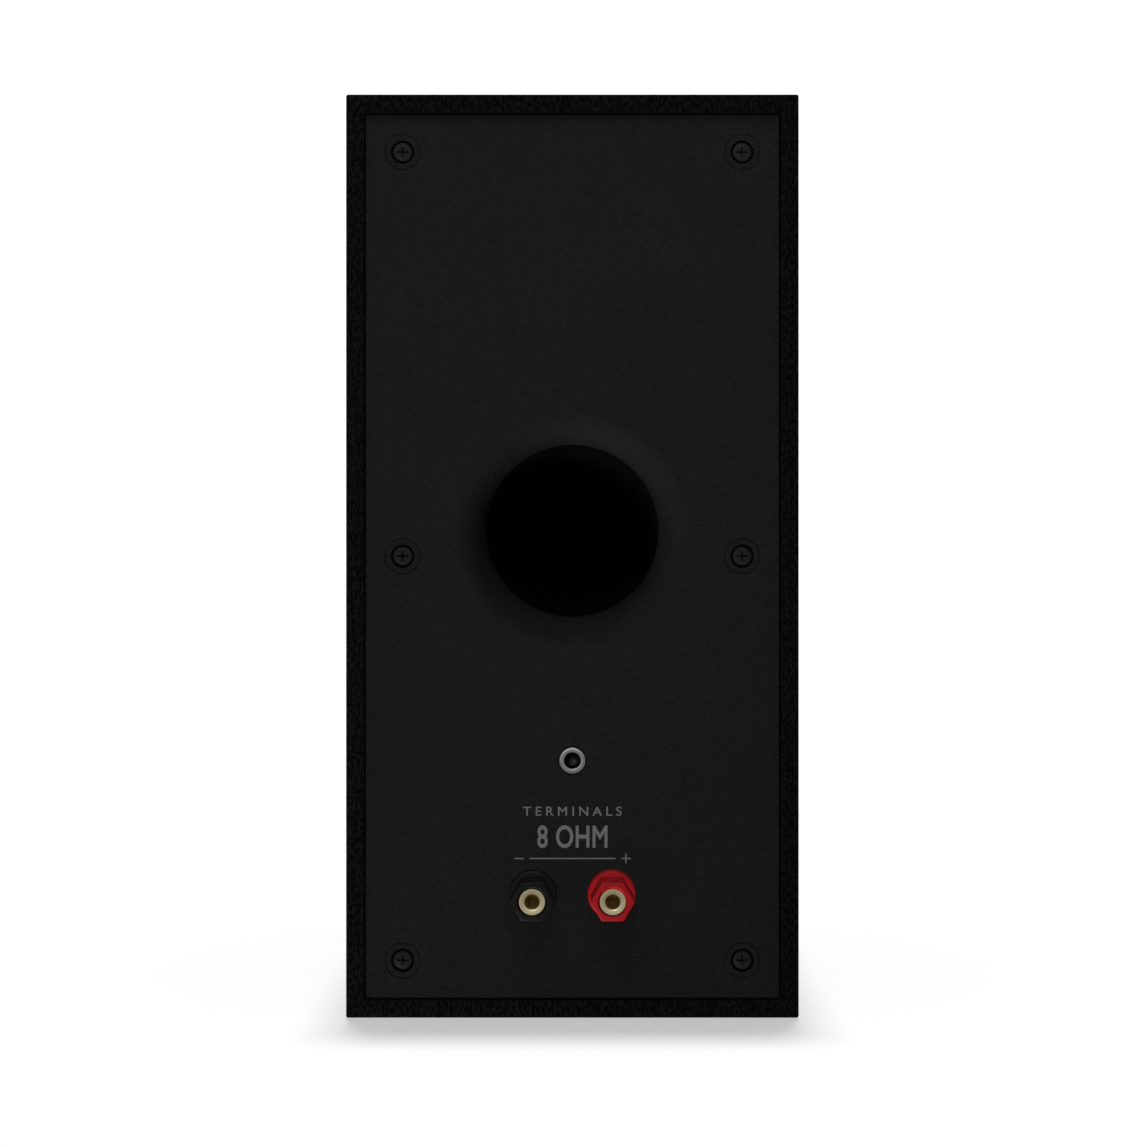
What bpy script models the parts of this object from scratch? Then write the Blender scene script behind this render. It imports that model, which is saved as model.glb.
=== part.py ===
"""A two-way bookshelf speaker, built piece by piece.

The cabinet is four mitred boards between a front baffle and a moulded rear cover. The baffle holds
a woofer and a dome tweeter behind a pull-off cloth grille. The cover holds a flared port, a threaded
mounting insert and two binding posts. Metres, +Z up. The front faces -Y, and the origin is under
the middle of the whole object.
"""

import math

import bmesh
import bpy
from mathutils import Matrix, Vector

# ---------------------------------------------------------------- driving dimensions
WIDTH, HEIGHT = 0.151, 0.308
OVERALL_DEPTH = 0.207  # from the cloth of the grille to the tips of the binding posts
GAP = 0.0003  # clearance wherever one piece rests on another
BOARD = 0.012  # thickness of the four cabinet boards
MITRE_GAP = 0.00022  # each board is this much short of its corner
BAFFLE = 0.016  # thickness of the front baffle
BAFFLE_EDGE = 0.002  # radius round the baffle's front edge

RIM = 0.0059  # width of the boards' rear edges, left outside the cover
COVER_MARGIN = 0.00045  # open line between the boards and the cover
COVER_RECESS = 0.002  # how far the cover sits inside the rear edges
COVER = 0.003  # thickness of the cover
GASKET = 0.001
GASKET_INSET, GASKET_BAR = 0.0005, 0.0185  # short of the cover's edge, and width of the ring
REAR_FRAME, REAR_FRAME_BAR = 0.012, 0.0137  # thickness and width of the frame the cover screws into
COVER_SCREW_X, COVER_SCREW_Z = 0.0568, 0.1352  # from the middle of the back
PILOT_HOLE, SHANK_HOLE, HEAD_HOLE = 0.0020, 0.0021, 0.00395  # radii round the cover's screws
HEAD_HOLE_DEPTH = 0.0019

PORT_Z = 0.1627
FLARE_RADIUS, FLARE_THROAT, FLARE_DEPTH = 0.040, 0.0292, 0.011
TUBE_THROAT, TUBE_LENGTH = 0.021, 0.086
SPIGOT_RADIUS = 0.0310  # inside the cover's horn, where the tube goes in

INSERT_Z, INSERT_RADIUS, INSERT_BORE = 0.0856, 0.0044, 0.00255
INSERT_DEPTH, INSERT_PROUD = 0.0100, 0.0003
INSERT_HOLE, BOSS_RADIUS = 0.0047, 0.008
POST_X, POST_Z = 0.01315, 0.0413
POST_REACH = 0.020  # from the cover to the tip of a binding post
COLLAR_RADIUS, COLLAR = 0.00805, 0.004
STUD_RADIUS, SOCKET_RADIUS, STUD_TAIL = 0.00423, 0.00205, 0.012
CAP_ACROSS_FLATS = 0.0126
CAP_BORE = 0.0046  # radius inside the cap, the clamp washer and the collar
POST_HOLE, COLLAR_NECK = 0.0055, 0.0052
TAIL_RADIUS = 0.0030
WIRE_HOLE_HEIGHT, WIRE_HOLE_RADIUS = 0.0064, 0.0013  # the cross hole under the clamp washer
WASHER_RADIUS, WASHER = 0.0058, 0.0008

WOOFER_Z, WOOFER_FLANGE, WOOFER_CUTOUT = 0.092, 0.060, 0.0475
WOOFER_SCREW_CIRCLE = 0.0548
TWEETER_Z, TWEETER_FLANGE, TWEETER_CUTOUT = 0.222, 0.052, 0.036
TWEETER_SCREW_CIRCLE = 0.0455
FLANGE_PROUD = 0.0004  # how far the drivers' flanges stand out of the baffle
DRIVER_SCREW_DEPTH = 0.0140  # of the pilot holes in the baffle

GRILLE_DEPTH, CLOTH = 0.0105, 0.0006
GRILLE_MARGIN = 0.0012  # the grille is this much smaller than the baffle on each side
GRILLE_BAR = 0.011
GRILLE_RAIL_Z = 0.161  # the rail between the two windows

# ---------------------------------------------------------------- planes across the depth
POST_TIP_Y = OVERALL_DEPTH / 2
COVER_Y = POST_TIP_Y - POST_REACH
RIM_Y = COVER_Y + COVER_RECESS
GASKET_Y = COVER_Y - COVER - GAP
SHELF_Y = GASKET_Y - GASKET - GAP  # the floor of the rebate, and the rear face of the frame
GRILLE_Y = -OVERALL_DEPTH / 2
BAFFLE_Y = GRILLE_Y + GRILLE_DEPTH + GAP
BOARD_FRONT_Y = BAFFLE_Y + BAFFLE + GAP
MIDDLE_Z = HEIGHT / 2

# A turned piece is drawn along its own +Z, which one of these turns to the front or to the rear.
TO_FRONT = (math.radians(90), 0, 0)
TO_REAR = (math.radians(-90), 0, 0)

LARGE, MEDIUM, SMALL, TINY = 32, 24, 16, 12  # steps round a turned piece
MERGE = 0.00001
THROUGH = (-0.03, 0.03)  # heights of a cutter that goes right through
ABOVE = 0.01  # how far a cutter starts above the face that it cuts

COLOURS = {  # colour, roughness, metallic
    "vinyl": ((0.012, 0.012, 0.012), 0.55, 0.0),
    "painted_board": ((0.015, 0.015, 0.015), 0.45, 0.0),
    "raw_board": ((0.32, 0.22, 0.13), 0.85, 0.0),
    "moulded_black": ((0.020, 0.020, 0.020), 0.6, 0.0),
    "black_plastic": ((0.012, 0.013, 0.012), 0.4, 0.0),
    "red_plastic": ((0.40, 0.012, 0.015), 0.35, 0.0),
    "gold": ((0.78, 0.60, 0.28), 0.3, 1.0),
    "nickel": ((0.55, 0.55, 0.54), 0.35, 1.0),
    "black_steel": ((0.02, 0.02, 0.02), 0.4, 0.7),
    "zinc_steel": ((0.50, 0.50, 0.48), 0.4, 1.0),
    "ferrite": ((0.05, 0.05, 0.055), 0.6, 0.0),
    "rubber": ((0.015, 0.015, 0.015), 0.7, 0.0),
    "foam": ((0.03, 0.03, 0.03), 0.95, 0.0),
    "cone": ((0.03, 0.03, 0.032), 0.5, 0.0),
    "silk": ((0.02, 0.02, 0.02), 0.6, 0.0),
    "spider": ((0.45, 0.30, 0.12), 0.9, 0.0),
    "copper": ((0.72, 0.35, 0.18), 0.35, 1.0),
    "circuit_board": ((0.02, 0.10, 0.05), 0.5, 0.0),
    "capacitor": ((0.45, 0.12, 0.02), 0.4, 0.0),
    "wire_black": ((0.02, 0.02, 0.02), 0.5, 0.0),
    "wire_red": ((0.35, 0.02, 0.02), 0.5, 0.0),
    "wadding": ((0.75, 0.75, 0.72), 0.95, 0.0),
    "grille_plastic": ((0.015, 0.015, 0.015), 0.6, 0.0),
    "grille_cloth": ((0.02, 0.02, 0.02), 0.95, 0.0),
}


# ---------------------------------------------------------------- tools
def new_collection(name):
    """An empty collection in the scene."""
    collection = bpy.data.collections.new(name)
    bpy.context.scene.collection.children.link(collection)
    return collection


def clear_scene():
    """Removes whatever the scene holds."""
    for obj in list(bpy.data.objects):
        bpy.data.objects.remove(obj)


def material(name):
    """The Principled material of that name from COLOURS, made on first use."""
    found = bpy.data.materials.get(name)
    if found:
        return found
    colour, roughness, metallic = COLOURS[name]
    made = bpy.data.materials.new(name)
    made.use_nodes = True
    shader = made.node_tree.nodes["Principled BSDF"]
    shader.inputs["Base Color"].default_value = (*colour, 1)
    shader.inputs["Roughness"].default_value = roughness
    shader.inputs["Metallic"].default_value = metallic
    made.diffuse_color = (*colour, 1)
    return made


def place(name, data, finish, location=(0, 0, 0), rotation=(0, 0, 0)):
    """A new object in the speaker's collection, or among the cutters when it has no finish."""
    obj = bpy.data.objects.new(name, data)
    obj.location = location
    obj.rotation_euler = rotation
    if finish:
        data.materials.append(material(finish))
        SPEAKER.objects.link(obj)
    else:
        obj.hide_render = True
        obj.display_type = "WIRE"
        CUTTERS.objects.link(obj)
    return obj


def box(name, size, centre, finish=None, rotation=(0, 0, 0)):
    """A box of that size round its centre."""
    mesh = bpy.data.meshes.new(name)
    shape = bmesh.new()
    bmesh.ops.create_cube(shape, size=1, matrix=Matrix.Diagonal((*size, 1)))
    shape.to_mesh(mesh)
    shape.free()
    return place(name, mesh, finish, centre, rotation)


def box_between(name, low, high, finish=None):
    """A box given by its lowest and highest corners."""
    low, high = Vector(low), Vector(high)
    return box(name, high - low, (low + high) / 2, finish)


def rod(name, radius, bottom, top, location, rotation, finish=None, sides=SMALL, also=()):
    """A cylinder along its own Z from bottom to top, with a corner on its own X.

    A cutter may hold more of the same, each moved by one of the (x, y) steps in also.
    """
    mesh = bpy.data.meshes.new(name)
    shape = bmesh.new()
    for x, y in ((0, 0), *also):
        bmesh.ops.create_cone(
            shape,
            cap_ends=True,
            segments=sides,
            radius1=radius,
            radius2=radius,
            depth=top - bottom,
            matrix=Matrix.Translation((x, y, (top + bottom) / 2)) @ first_corner_on_x(sides),
        )
    shape.to_mesh(mesh)
    shape.free()
    return place(name, mesh, finish, location, rotation)


def first_corner_on_x(sides):
    """create_cone puts its first corner on Y: this turns it to X where the count needs it."""
    return Matrix.Rotation(math.radians(90), 4, "Z") if sides % 4 else Matrix.Identity(4)


def turned(name, profile, location, rotation, finish=None, steps=LARGE, ring=False):
    """A profile of (radius, height) points turned about its own Z.

    The points run down the outer side. A ring's profile closes on itself, and any other one
    starts and ends on the axis.
    """
    mesh = bpy.data.meshes.new(name)
    count = len(profile)
    edges = [(i, i + 1) for i in range(count - 1)]
    if ring:
        edges.append((count - 1, 0))
    mesh.from_pydata([(radius, 0, height) for radius, height in profile], edges, [])
    obj = place(name, mesh, finish, location, rotation)
    screw = obj.modifiers.new("Screw", "SCREW")
    screw.steps = screw.render_steps = steps
    screw.use_merge_vertices = True
    screw.merge_threshold = MERGE
    return obj


def skin(line, thickness):
    """The closed profile of a thin wall: a middle line of (radius, height) points, given a thickness.

    The line runs outwards from its smallest radius. A point on the axis stays on the axis.
    """
    front, back = [], []
    for i, (radius, height) in enumerate(line):
        before, after = line[max(i - 1, 0)], line[min(i + 1, len(line) - 1)]
        along = Vector((after[0] - before[0], after[1] - before[1])).normalized()
        side = Vector((-along.y, along.x)) * thickness / 2
        if radius < MERGE:
            side.x = 0
        front.append((radius + side.x, height + side.y))
        back.append((radius - side.x, height - side.y))
    return front + back[::-1]


def arc(centre, radii, start, end, count):
    """Points on an ellipse about a centre, from one angle to another in degrees."""
    angles = [math.radians(start + (end - start) * i / (count - 1)) for i in range(count)]
    return [(centre[0] + radii[0] * math.cos(a), centre[1] + radii[1] * math.sin(a)) for a in angles]


def cut(obj, *cutters):
    """Takes the cutters out of the object."""
    for cutter in cutters:
        modifier = obj.modifiers.new(cutter.name, "BOOLEAN")
        modifier.operation = "DIFFERENCE"
        modifier.object = cutter


def join(obj, *others):
    """Adds helper shapes to the object."""
    for other in others:
        modifier = obj.modifiers.new(other.name, "BOOLEAN")
        modifier.operation = "UNION"
        modifier.object = other


def round_edges(obj, width, segments=2):
    """Rounds every edge sharper than 30 degrees."""
    bevel = obj.modifiers.new("Bevel", "BEVEL")
    bevel.width = width
    bevel.segments = segments
    bevel.limit_method = "ANGLE"
    return obj


def smooth_line(points, spacing):
    """Evenly spaced points on one smooth curve through the points given (Catmull-Rom)."""
    points = [Vector(p) for p in points]
    ends = [2 * points[0] - points[1], *points, 2 * points[-1] - points[-2]]
    fine, parts, slack = [], 24, 0.02
    for a, b, c, d in zip(ends, ends[1:], ends[2:], ends[3:]):
        for i in range(parts):
            t = i / parts
            bend = (2 * a - 5 * b + 4 * c - d) * t * t + (3 * b - a - 3 * c + d) * t ** 3
            fine.append(b + ((c - a) * t + bend) / 2)
    fine.append(points[-1])
    total = sum((b - a).length for a, b in zip(fine, fine[1:]))
    step = total / max(2, round(total / spacing))
    line, travelled = [fine[0]], 0.0
    for a, b in zip(fine, fine[1:]):
        travelled += (b - a).length
        if travelled >= step * (len(line) - slack):
            line.append(b)
    return line


def wire(name, points, radius, finish):
    """A tube along one smooth curve through the points."""
    curve = bpy.data.curves.new(name, "CURVE")
    curve.dimensions = "3D"
    curve.bevel_depth = radius
    curve.bevel_resolution = 2
    curve.use_fill_caps = True
    line = smooth_line(points, 3 * (2 * radius))
    spline = curve.splines.new("POLY")
    spline.points.add(len(line) - 1)
    for point, place_at in zip(spline.points, line):
        point.co = (*place_at, 1)
    return place(name, curve, finish)


# ---------------------------------------------------------------- cabinet
def cabinet_boards():
    """Four mitred boards, rebated at the rear for the cover."""
    rebate = box_between(
        "rebate_cutter",
        (-WIDTH / 2 + RIM, SHELF_Y, RIM),
        (WIDTH / 2 - RIM, RIM_Y + ABOVE, HEIGHT - RIM),
    )
    boards = (
        ("top_panel", WIDTH, HEIGHT / 2, 0),
        ("side_panel_right", HEIGHT, WIDTH / 2, 90),
        ("bottom_panel", WIDTH, HEIGHT / 2, 180),
        ("side_panel_left", HEIGHT, WIDTH / 2, 270),
    )
    depth = RIM_Y - BOARD_FRONT_Y
    for name, length, outer, turn in boards:
        outline = (
            (-length / 2 + MITRE_GAP, outer),
            (length / 2 - MITRE_GAP, outer),
            (length / 2 - BOARD - MITRE_GAP, outer - BOARD),
            (-length / 2 + BOARD + MITRE_GAP, outer - BOARD),
        )
        mesh = bpy.data.meshes.new(name)
        shape = bmesh.new()
        corners = [shape.verts.new((u, 0, v)) for u, v in outline]
        face = shape.faces.new(corners)
        side = bmesh.ops.extrude_face_region(shape, geom=[face])["geom"]
        moved = [v for v in side if isinstance(v, bmesh.types.BMVert)]
        bmesh.ops.translate(shape, verts=moved, vec=(0, depth, 0))
        bmesh.ops.recalc_face_normals(shape, faces=shape.faces)
        shape.to_mesh(mesh)
        shape.free()
        board = place(
            name, mesh, "vinyl", (0, BOARD_FRONT_Y, MIDDLE_Z), (0, math.radians(turn), 0)
        )
        cut(board, rebate)


def rear_frame():
    """The frame glued inside the boards, which the cover's screws bite into."""
    half_width = WIDTH / 2 - BOARD - GAP
    half_height = HEIGHT / 2 - BOARD - GAP
    frame = box(
        "rear_frame",
        (2 * half_width, REAR_FRAME, 2 * half_height),
        (0, SHELF_Y - REAR_FRAME / 2, MIDDLE_Z),
        "raw_board",
    )
    window = box(
        "rear_frame_window",
        (2 * (half_width - REAR_FRAME_BAR), 2 * REAR_FRAME, 2 * (half_height - REAR_FRAME_BAR)),
        (0, SHELF_Y - REAR_FRAME / 2, MIDDLE_Z),
    )
    cut(frame, window, cover_screw_holes("rear_frame", PILOT_HOLE, *THROUGH))


def cover_screw_places():
    """Where the six screws of the cover sit, as (x, z)."""
    rows = (COVER_SCREW_Z, 0, -COVER_SCREW_Z)
    return [(x, MIDDLE_Z + z) for z in rows for x in (-COVER_SCREW_X, COVER_SCREW_X)]


def cover_screw_holes(owner, radius, bottom, top):
    """A cutter for the six screws of the cover, with heights from the cover's outer face."""
    (x, z), *others = cover_screw_places()
    also = [(other_x - x, z - other_z) for other_x, other_z in others]
    at = (x, COVER_Y, z)
    return rod(f"{owner}_screw_holes", radius, bottom, top, at, TO_REAR, sides=TINY, also=also)


def cover_gasket():
    """A flat foam ring between the cover and the frame."""
    half_width = WIDTH / 2 - RIM - COVER_MARGIN - GASKET_INSET
    half_height = HEIGHT / 2 - RIM - COVER_MARGIN - GASKET_INSET
    centre = (0, GASKET_Y - GASKET / 2, MIDDLE_Z)
    gasket = box(
        "rear_cover_gasket", (2 * half_width, GASKET, 2 * half_height), centre, "foam"
    )
    window = box(
        "gasket_window",
        (2 * (half_width - GASKET_BAR), 2 * GASKET, 2 * (half_height - GASKET_BAR)),
        centre,
    )
    cut(gasket, window, cover_screw_holes("gasket", SHANK_HOLE, *THROUGH))


def rear_cover():
    """The moulded cover: a plate that flares inwards round the port, with a boss for the insert."""
    port = (0, COVER_Y, PORT_Z)
    insert = (0, COVER_Y, INSERT_Z)
    half_width = WIDTH / 2 - RIM - COVER_MARGIN
    half_height = HEIGHT / 2 - RIM - COVER_MARGIN
    cover = box(
        "rear_cover",
        (2 * half_width, COVER, 2 * half_height),
        (0, COVER_Y - COVER / 2, MIDDLE_Z),
        "moulded_black",
    )
    horn = turned(
        "port_horn",
        [(0, -COVER / 2), (0.0435, -COVER / 2), (0.0345, -0.0085), (0.0345, -0.0185), (0, -0.0185)],
        port,
        TO_REAR,
    )
    boss = rod("insert_boss", BOSS_RADIUS, -0.0130, -COVER / 2, insert, TO_REAR)
    lift = 0.00005  # the flare starts this much above the face, so that it cuts a clean line
    flare = arc(
        (FLARE_RADIUS, -FLARE_DEPTH),
        (FLARE_THROAT - FLARE_RADIUS, FLARE_DEPTH + lift),
        90,
        0,
        8,
    )
    funnel = turned(
        "port_funnel",
        [(0, 0.002), (FLARE_RADIUS, 0.002), *flare]
        + [(SPIGOT_RADIUS, -FLARE_DEPTH), (SPIGOT_RADIUS, -0.022), (0, -0.022)],
        port,
        TO_REAR,
    )
    posts = (-POST_X, COVER_Y, POST_Z)
    join(cover, horn, boss)
    cut(
        cover,
        cover_screw_holes("cover_shank", SHANK_HOLE, *THROUGH),
        cover_screw_holes("cover_head", HEAD_HOLE, -HEAD_HOLE_DEPTH, ABOVE),
        rod("post_holes", POST_HOLE, *THROUGH, posts, TO_REAR, also=[(2 * POST_X, 0)]),
        rod("insert_hole", INSERT_HOLE, *THROUGH, insert, TO_REAR),
        funnel,
    )


def cover_screws():
    """Six pan-head screws, each with a cross recess."""
    head, shank, tip = 0.0032, 0.0017, -0.0150
    reach, deep, wide = 0.0038, 0.0030, 0.0007  # of the two slots that make the cross
    profile = [(0, -0.0001), (0.0016, -0.0002), (head, -0.0007), (head, -0.0016)]
    profile += [(shank, -0.0016), (shank, tip + 0.002), (0, tip)]
    for i, (x, z) in enumerate(cover_screw_places(), 1):
        at = (x, COVER_Y, z)
        screw = turned(f"rear_cover_screw_{i}", profile, at, TO_REAR, "black_steel", TINY)
        for k, size in enumerate(((reach, deep, wide), (wide, deep, reach))):
            cut(screw, box(f"cross_{i}_{k}", size, (x, COVER_Y + deep / 5, z)))


def port_tube():
    """The tube behind the cover. It narrows to its throat and opens again at its inner end."""
    start = -FLARE_DEPTH - GAP
    end = start - TUBE_LENGTH
    wall = 0.0018
    taper, rows = 0.036, 6
    narrowing = [
        (
            TUBE_THROAT + (FLARE_THROAT - TUBE_THROAT) * (1 + math.cos(math.pi * i / rows)) / 2,
            start - taper * i / rows,
        )
        for i in range(rows + 1)
    ]
    mouth = arc((TUBE_THROAT + 0.006, end + 0.010), (-0.006, -0.010), 0, 60, 3)
    inside = narrowing + mouth
    outside = [(radius + wall, height) for radius, height in inside[1:]]
    socket = [(FLARE_THROAT + 0.0015, start), (FLARE_THROAT + 0.0015, start - 0.006)]
    turned(
        "port_tube",
        socket + outside + inside[::-1],
        (0, COVER_Y, PORT_Z),
        TO_REAR,
        "moulded_black",
        MEDIUM,
        ring=True,
    )


def mounting_insert():
    """A blind metal insert for a wall bracket's bolt."""
    face, floor, end = INSERT_PROUD, -INSERT_DEPTH, -0.0120
    drill_point, lead_in = 0.001, 0.00085
    profile = [
        (0, floor - drill_point),
        (INSERT_BORE, floor),
        (INSERT_BORE, face - 0.0012),
        (INSERT_BORE + lead_in, face),
        (INSERT_RADIUS, face),
        (INSERT_RADIUS, end),
        (0, end),
    ]
    turned("mounting_insert", profile, (0, COVER_Y, INSERT_Z), TO_REAR, "nickel", SMALL)


# ---------------------------------------------------------------- binding posts
def binding_post(colour, x):
    """One post: an insulating collar, a hollow stud, its inner nut, a clamp washer and a cap."""
    at = (x, COVER_Y, POST_Z)
    plastic = f"{colour}_plastic"
    chamfer = 0.0006
    turned(
        f"{colour}_post_collar",
        [
            (CAP_BORE, COLLAR),
            (COLLAR_RADIUS - chamfer, COLLAR),
            (COLLAR_RADIUS, COLLAR - chamfer),
            (COLLAR_RADIUS, GAP),
            (COLLAR_NECK, GAP),
            (COLLAR_NECK, -COVER + GAP),
            (CAP_BORE, -COVER + GAP),
        ],
        at,
        TO_REAR,
        plastic,
        SMALL,
        ring=True,
    )
    stud = turned(
        f"{colour}_post_stud",
        [
            (0, 0.0010),
            (SOCKET_RADIUS, 0.0030),
            (SOCKET_RADIUS, POST_REACH - 0.0010),
            (SOCKET_RADIUS + 0.0005, POST_REACH),
            (STUD_RADIUS, POST_REACH),
            (STUD_RADIUS, -COVER),
            (TAIL_RADIUS, -COVER),
            (TAIL_RADIUS, -STUD_TAIL),
            (0, -STUD_TAIL),
        ],
        at,
        TO_REAR,
        "gold",
        SMALL,
    )
    cut(
        stud,
        rod(
            f"{colour}_wire_hole",
            WIRE_HOLE_RADIUS,
            *THROUGH,
            (x, COVER_Y + WIRE_HOLE_HEIGHT, POST_Z),
            (0, math.radians(90), 0),
            sides=8,
        ),
    )
    nut_top, nut_height = -COVER - GAP, 0.003
    nut = rod(
        f"{colour}_post_nut", 0.0058, nut_top - nut_height, nut_top, at, TO_REAR, "gold", 6
    )
    cut(nut, rod(f"{colour}_nut_bore", TAIL_RADIUS + 0.0004, *THROUGH, at, TO_REAR))
    washer_bottom, washer_top = COLLAR + GAP, COLLAR + GAP + WASHER
    turned(
        f"{colour}_post_washer",
        [
            (CAP_BORE, washer_top),
            (WASHER_RADIUS, washer_top),
            (WASHER_RADIUS, washer_bottom),
            (CAP_BORE, washer_bottom),
        ],
        at,
        TO_REAR,
        "gold",
        SMALL,
        ring=True,
    )
    corner = CAP_ACROSS_FLATS / math.sqrt(3)
    cap = rod(
        f"{colour}_post_cap", corner, washer_top + GAP, POST_REACH - 0.0001, at, TO_REAR, plastic, 6
    )
    round_edges(cap, 0.0004, 1)
    cut(cap, rod(f"{colour}_cap_bore", CAP_BORE, *THROUGH, at, TO_REAR))


# ---------------------------------------------------------------- front
def screw_ring(z, circle):
    """Four places on a circle about a driver, at 45 degrees to the vertical, as (x, z)."""
    reach = circle / math.sqrt(2)
    return [(sx * reach, z + sz * reach) for sz in (1, -1) for sx in (-1, 1)]


def driver_screws(name, z, circle, head_radius, head_top, head_bottom, shank, tip):
    """Four socket-head screws round a driver, with heights from the baffle's face."""
    profile = [(0, head_top), (head_radius * 0.8, head_top), (head_radius, head_top - 0.0005)]
    profile += [(head_radius, head_bottom), (shank, head_bottom), (shank, tip), (0, tip)]
    for i, (x, at_z) in enumerate(screw_ring(z, circle), 1):
        at = (x, BAFFLE_Y, at_z)
        screw = turned(f"{name}_screw_{i}", profile, at, TO_FRONT, "black_steel", TINY)
        socket = rod(
            f"{name}_socket_{i}", 0.0014, head_top - 0.0010, head_top + ABOVE, at, TO_FRONT, sides=6
        )
        cut(screw, socket)


def driver_screw_holes(owner, z, circle, radius, bottom, top):
    """A cutter for the four screws of a driver."""
    (x, first_z), *others = screw_ring(z, circle)
    also = [(other_x - x, other_z - first_z) for other_x, other_z in others]
    at = (x, BAFFLE_Y, first_z)
    return rod(f"{owner}_screw_holes", radius, bottom, top, at, TO_FRONT, sides=TINY, also=also)


def front_baffle():
    """The board that carries the drivers, with a recess and a cut-out for each."""
    baffle = box(
        "front_baffle",
        (WIDTH, BAFFLE, HEIGHT),
        (0, BAFFLE_Y + BAFFLE / 2, MIDDLE_Z),
        "painted_board",
    )
    round_edges(baffle, BAFFLE_EDGE)
    drivers = (
        ("woofer", WOOFER_Z, WOOFER_FLANGE, WOOFER_CUTOUT, 0.0042, WOOFER_SCREW_CIRCLE, 0.0022),
        ("tweeter", TWEETER_Z, TWEETER_FLANGE, TWEETER_CUTOUT, 0.0030, TWEETER_SCREW_CIRCLE, 0.0019),
    )
    for name, z, flange, cutout, recess, circle, hole in drivers:
        at = (0, BAFFLE_Y, z)
        cut(
            baffle,
            rod(f"{name}_recess", flange + 2 * GAP, -recess, ABOVE, at, TO_FRONT, sides=LARGE),
            rod(f"{name}_cutout", cutout, *THROUGH, at, TO_FRONT, sides=LARGE),
            driver_screw_holes(f"{name}_baffle", z, circle, hole, -DRIVER_SCREW_DEPTH, ABOVE),
        )


def woofer():
    """The woofer's frame and motor, its moving cone, and the two suspensions between them."""
    at = (0, BAFFLE_Y, WOOFER_Z)
    place_it = {"location": at, "rotation": TO_FRONT}
    basket = turned(
        "woofer_basket",
        [
            (0.0445, FLANGE_PROUD),
            (WOOFER_FLANGE, FLANGE_PROUD),
            (WOOFER_FLANGE, -0.0039),
            (0.0468, -0.0039),
            (0.0440, -0.0170),
            (0.0410, -0.0262),
            (0.0345, -0.0300),
            (0.0345, -0.0385),
            (0.0160, -0.0385),
            (0.0160, -0.0365),
            (0.0325, -0.0365),
            (0.0325, -0.0240),
            (0.0385, -0.0240),
            (0.0420, -0.0150),
            (0.0445, -0.0030),
        ],
        **place_it,
        finish="black_steel",
        steps=MEDIUM,
        ring=True,
    )
    for i in range(6):
        angle = math.radians(60 * i + 30)
        reach = Vector((math.cos(angle), 0, math.sin(angle))) * 0.043
        window = box(
            f"basket_window_{i}",
            (0.020, 0.0120, 0.030),
            Vector((0, BAFFLE_Y + 0.0135, WOOFER_Z)) + reach,
            rotation=(0, -angle, 0),
        )
        cut(basket, window)
    cut(
        basket,
        driver_screw_holes("woofer_flange", WOOFER_Z, WOOFER_SCREW_CIRCLE, 0.0022, *THROUGH),
    )
    rings = (  # name, inner and outer radius, top, bottom
        ("woofer_top_plate", 0.0142, 0.0335, -0.0388, -0.0438, "zinc_steel"),
        ("woofer_magnet", 0.0170, 0.0370, -0.0441, -0.0581, "ferrite"),
    )
    for name, inner, outer, top, bottom, finish in rings:
        profile = [(inner, top), (outer, top), (outer, bottom), (inner, bottom)]
        turned(name, profile, **place_it, finish=finish, steps=MEDIUM, ring=True)
    turned(
        "woofer_yoke",
        [(0, -0.0390), (0.0120, -0.0390), (0.0120, -0.0584), (0.0335, -0.0584)]
        + [(0.0335, -0.0634), (0, -0.0634)],
        **place_it,
        finish="zinc_steel",
        steps=MEDIUM,
    )
    turned(
        "woofer_voice_coil",
        [(0.0125, -0.0120), (0.0130, -0.0120), (0.0130, -0.0365), (0.0136, -0.0365)]
        + [(0.0136, -0.0455), (0.0125, -0.0455)],
        **place_it,
        finish="copper",
        steps=MEDIUM,
        ring=True,
    )
    cone_line = [(0.0134, -0.0152), (0.0180, -0.0117), (0.0245, -0.0078), (0.0375, -0.0019)]
    cone = skin(cone_line, 0.0008)
    turned("woofer_cone", cone, **place_it, finish="cone", steps=MEDIUM, ring=True)
    cap_line = [(0, -0.0070), (0.0075, -0.0082), (0.0130, -0.0105), (0.0162, -0.0122)]
    turned("woofer_dust_cap", skin(cap_line, 0.0005), **place_it, finish="cone", steps=MEDIUM)
    roll = arc((0.0413, 0.0003), (0.0037, 0.0042), 180, 0, 5)
    surround_line = [(0.0348, -0.0006), (0.0374, -0.0006), *roll[1:-1], (0.0453, 0.0011)]
    surround_line.append((0.0502, 0.0011))
    surround = skin(surround_line, 0.0007)
    turned("woofer_surround", surround, **place_it, finish="rubber", steps=MEDIUM, ring=True)
    first, pitch, wave = 0.0139, 0.0038, 0.0009
    waves = [(first + pitch * i, -0.0222 + wave * (-1) ** i) for i in range(1, 6)]
    spider_line = [(first - 0.0005, -0.0222), *waves, (0.0378, -0.0222)]
    turned(
        "woofer_spider",
        skin(spider_line, 0.0005),
        **place_it,
        finish="spider",
        steps=MEDIUM,
        ring=True,
    )
    driver_screws(
        "woofer", WOOFER_Z, WOOFER_SCREW_CIRCLE, 0.0035, 0.0028, 0.0007, 0.0019, -0.0130
    )


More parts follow.
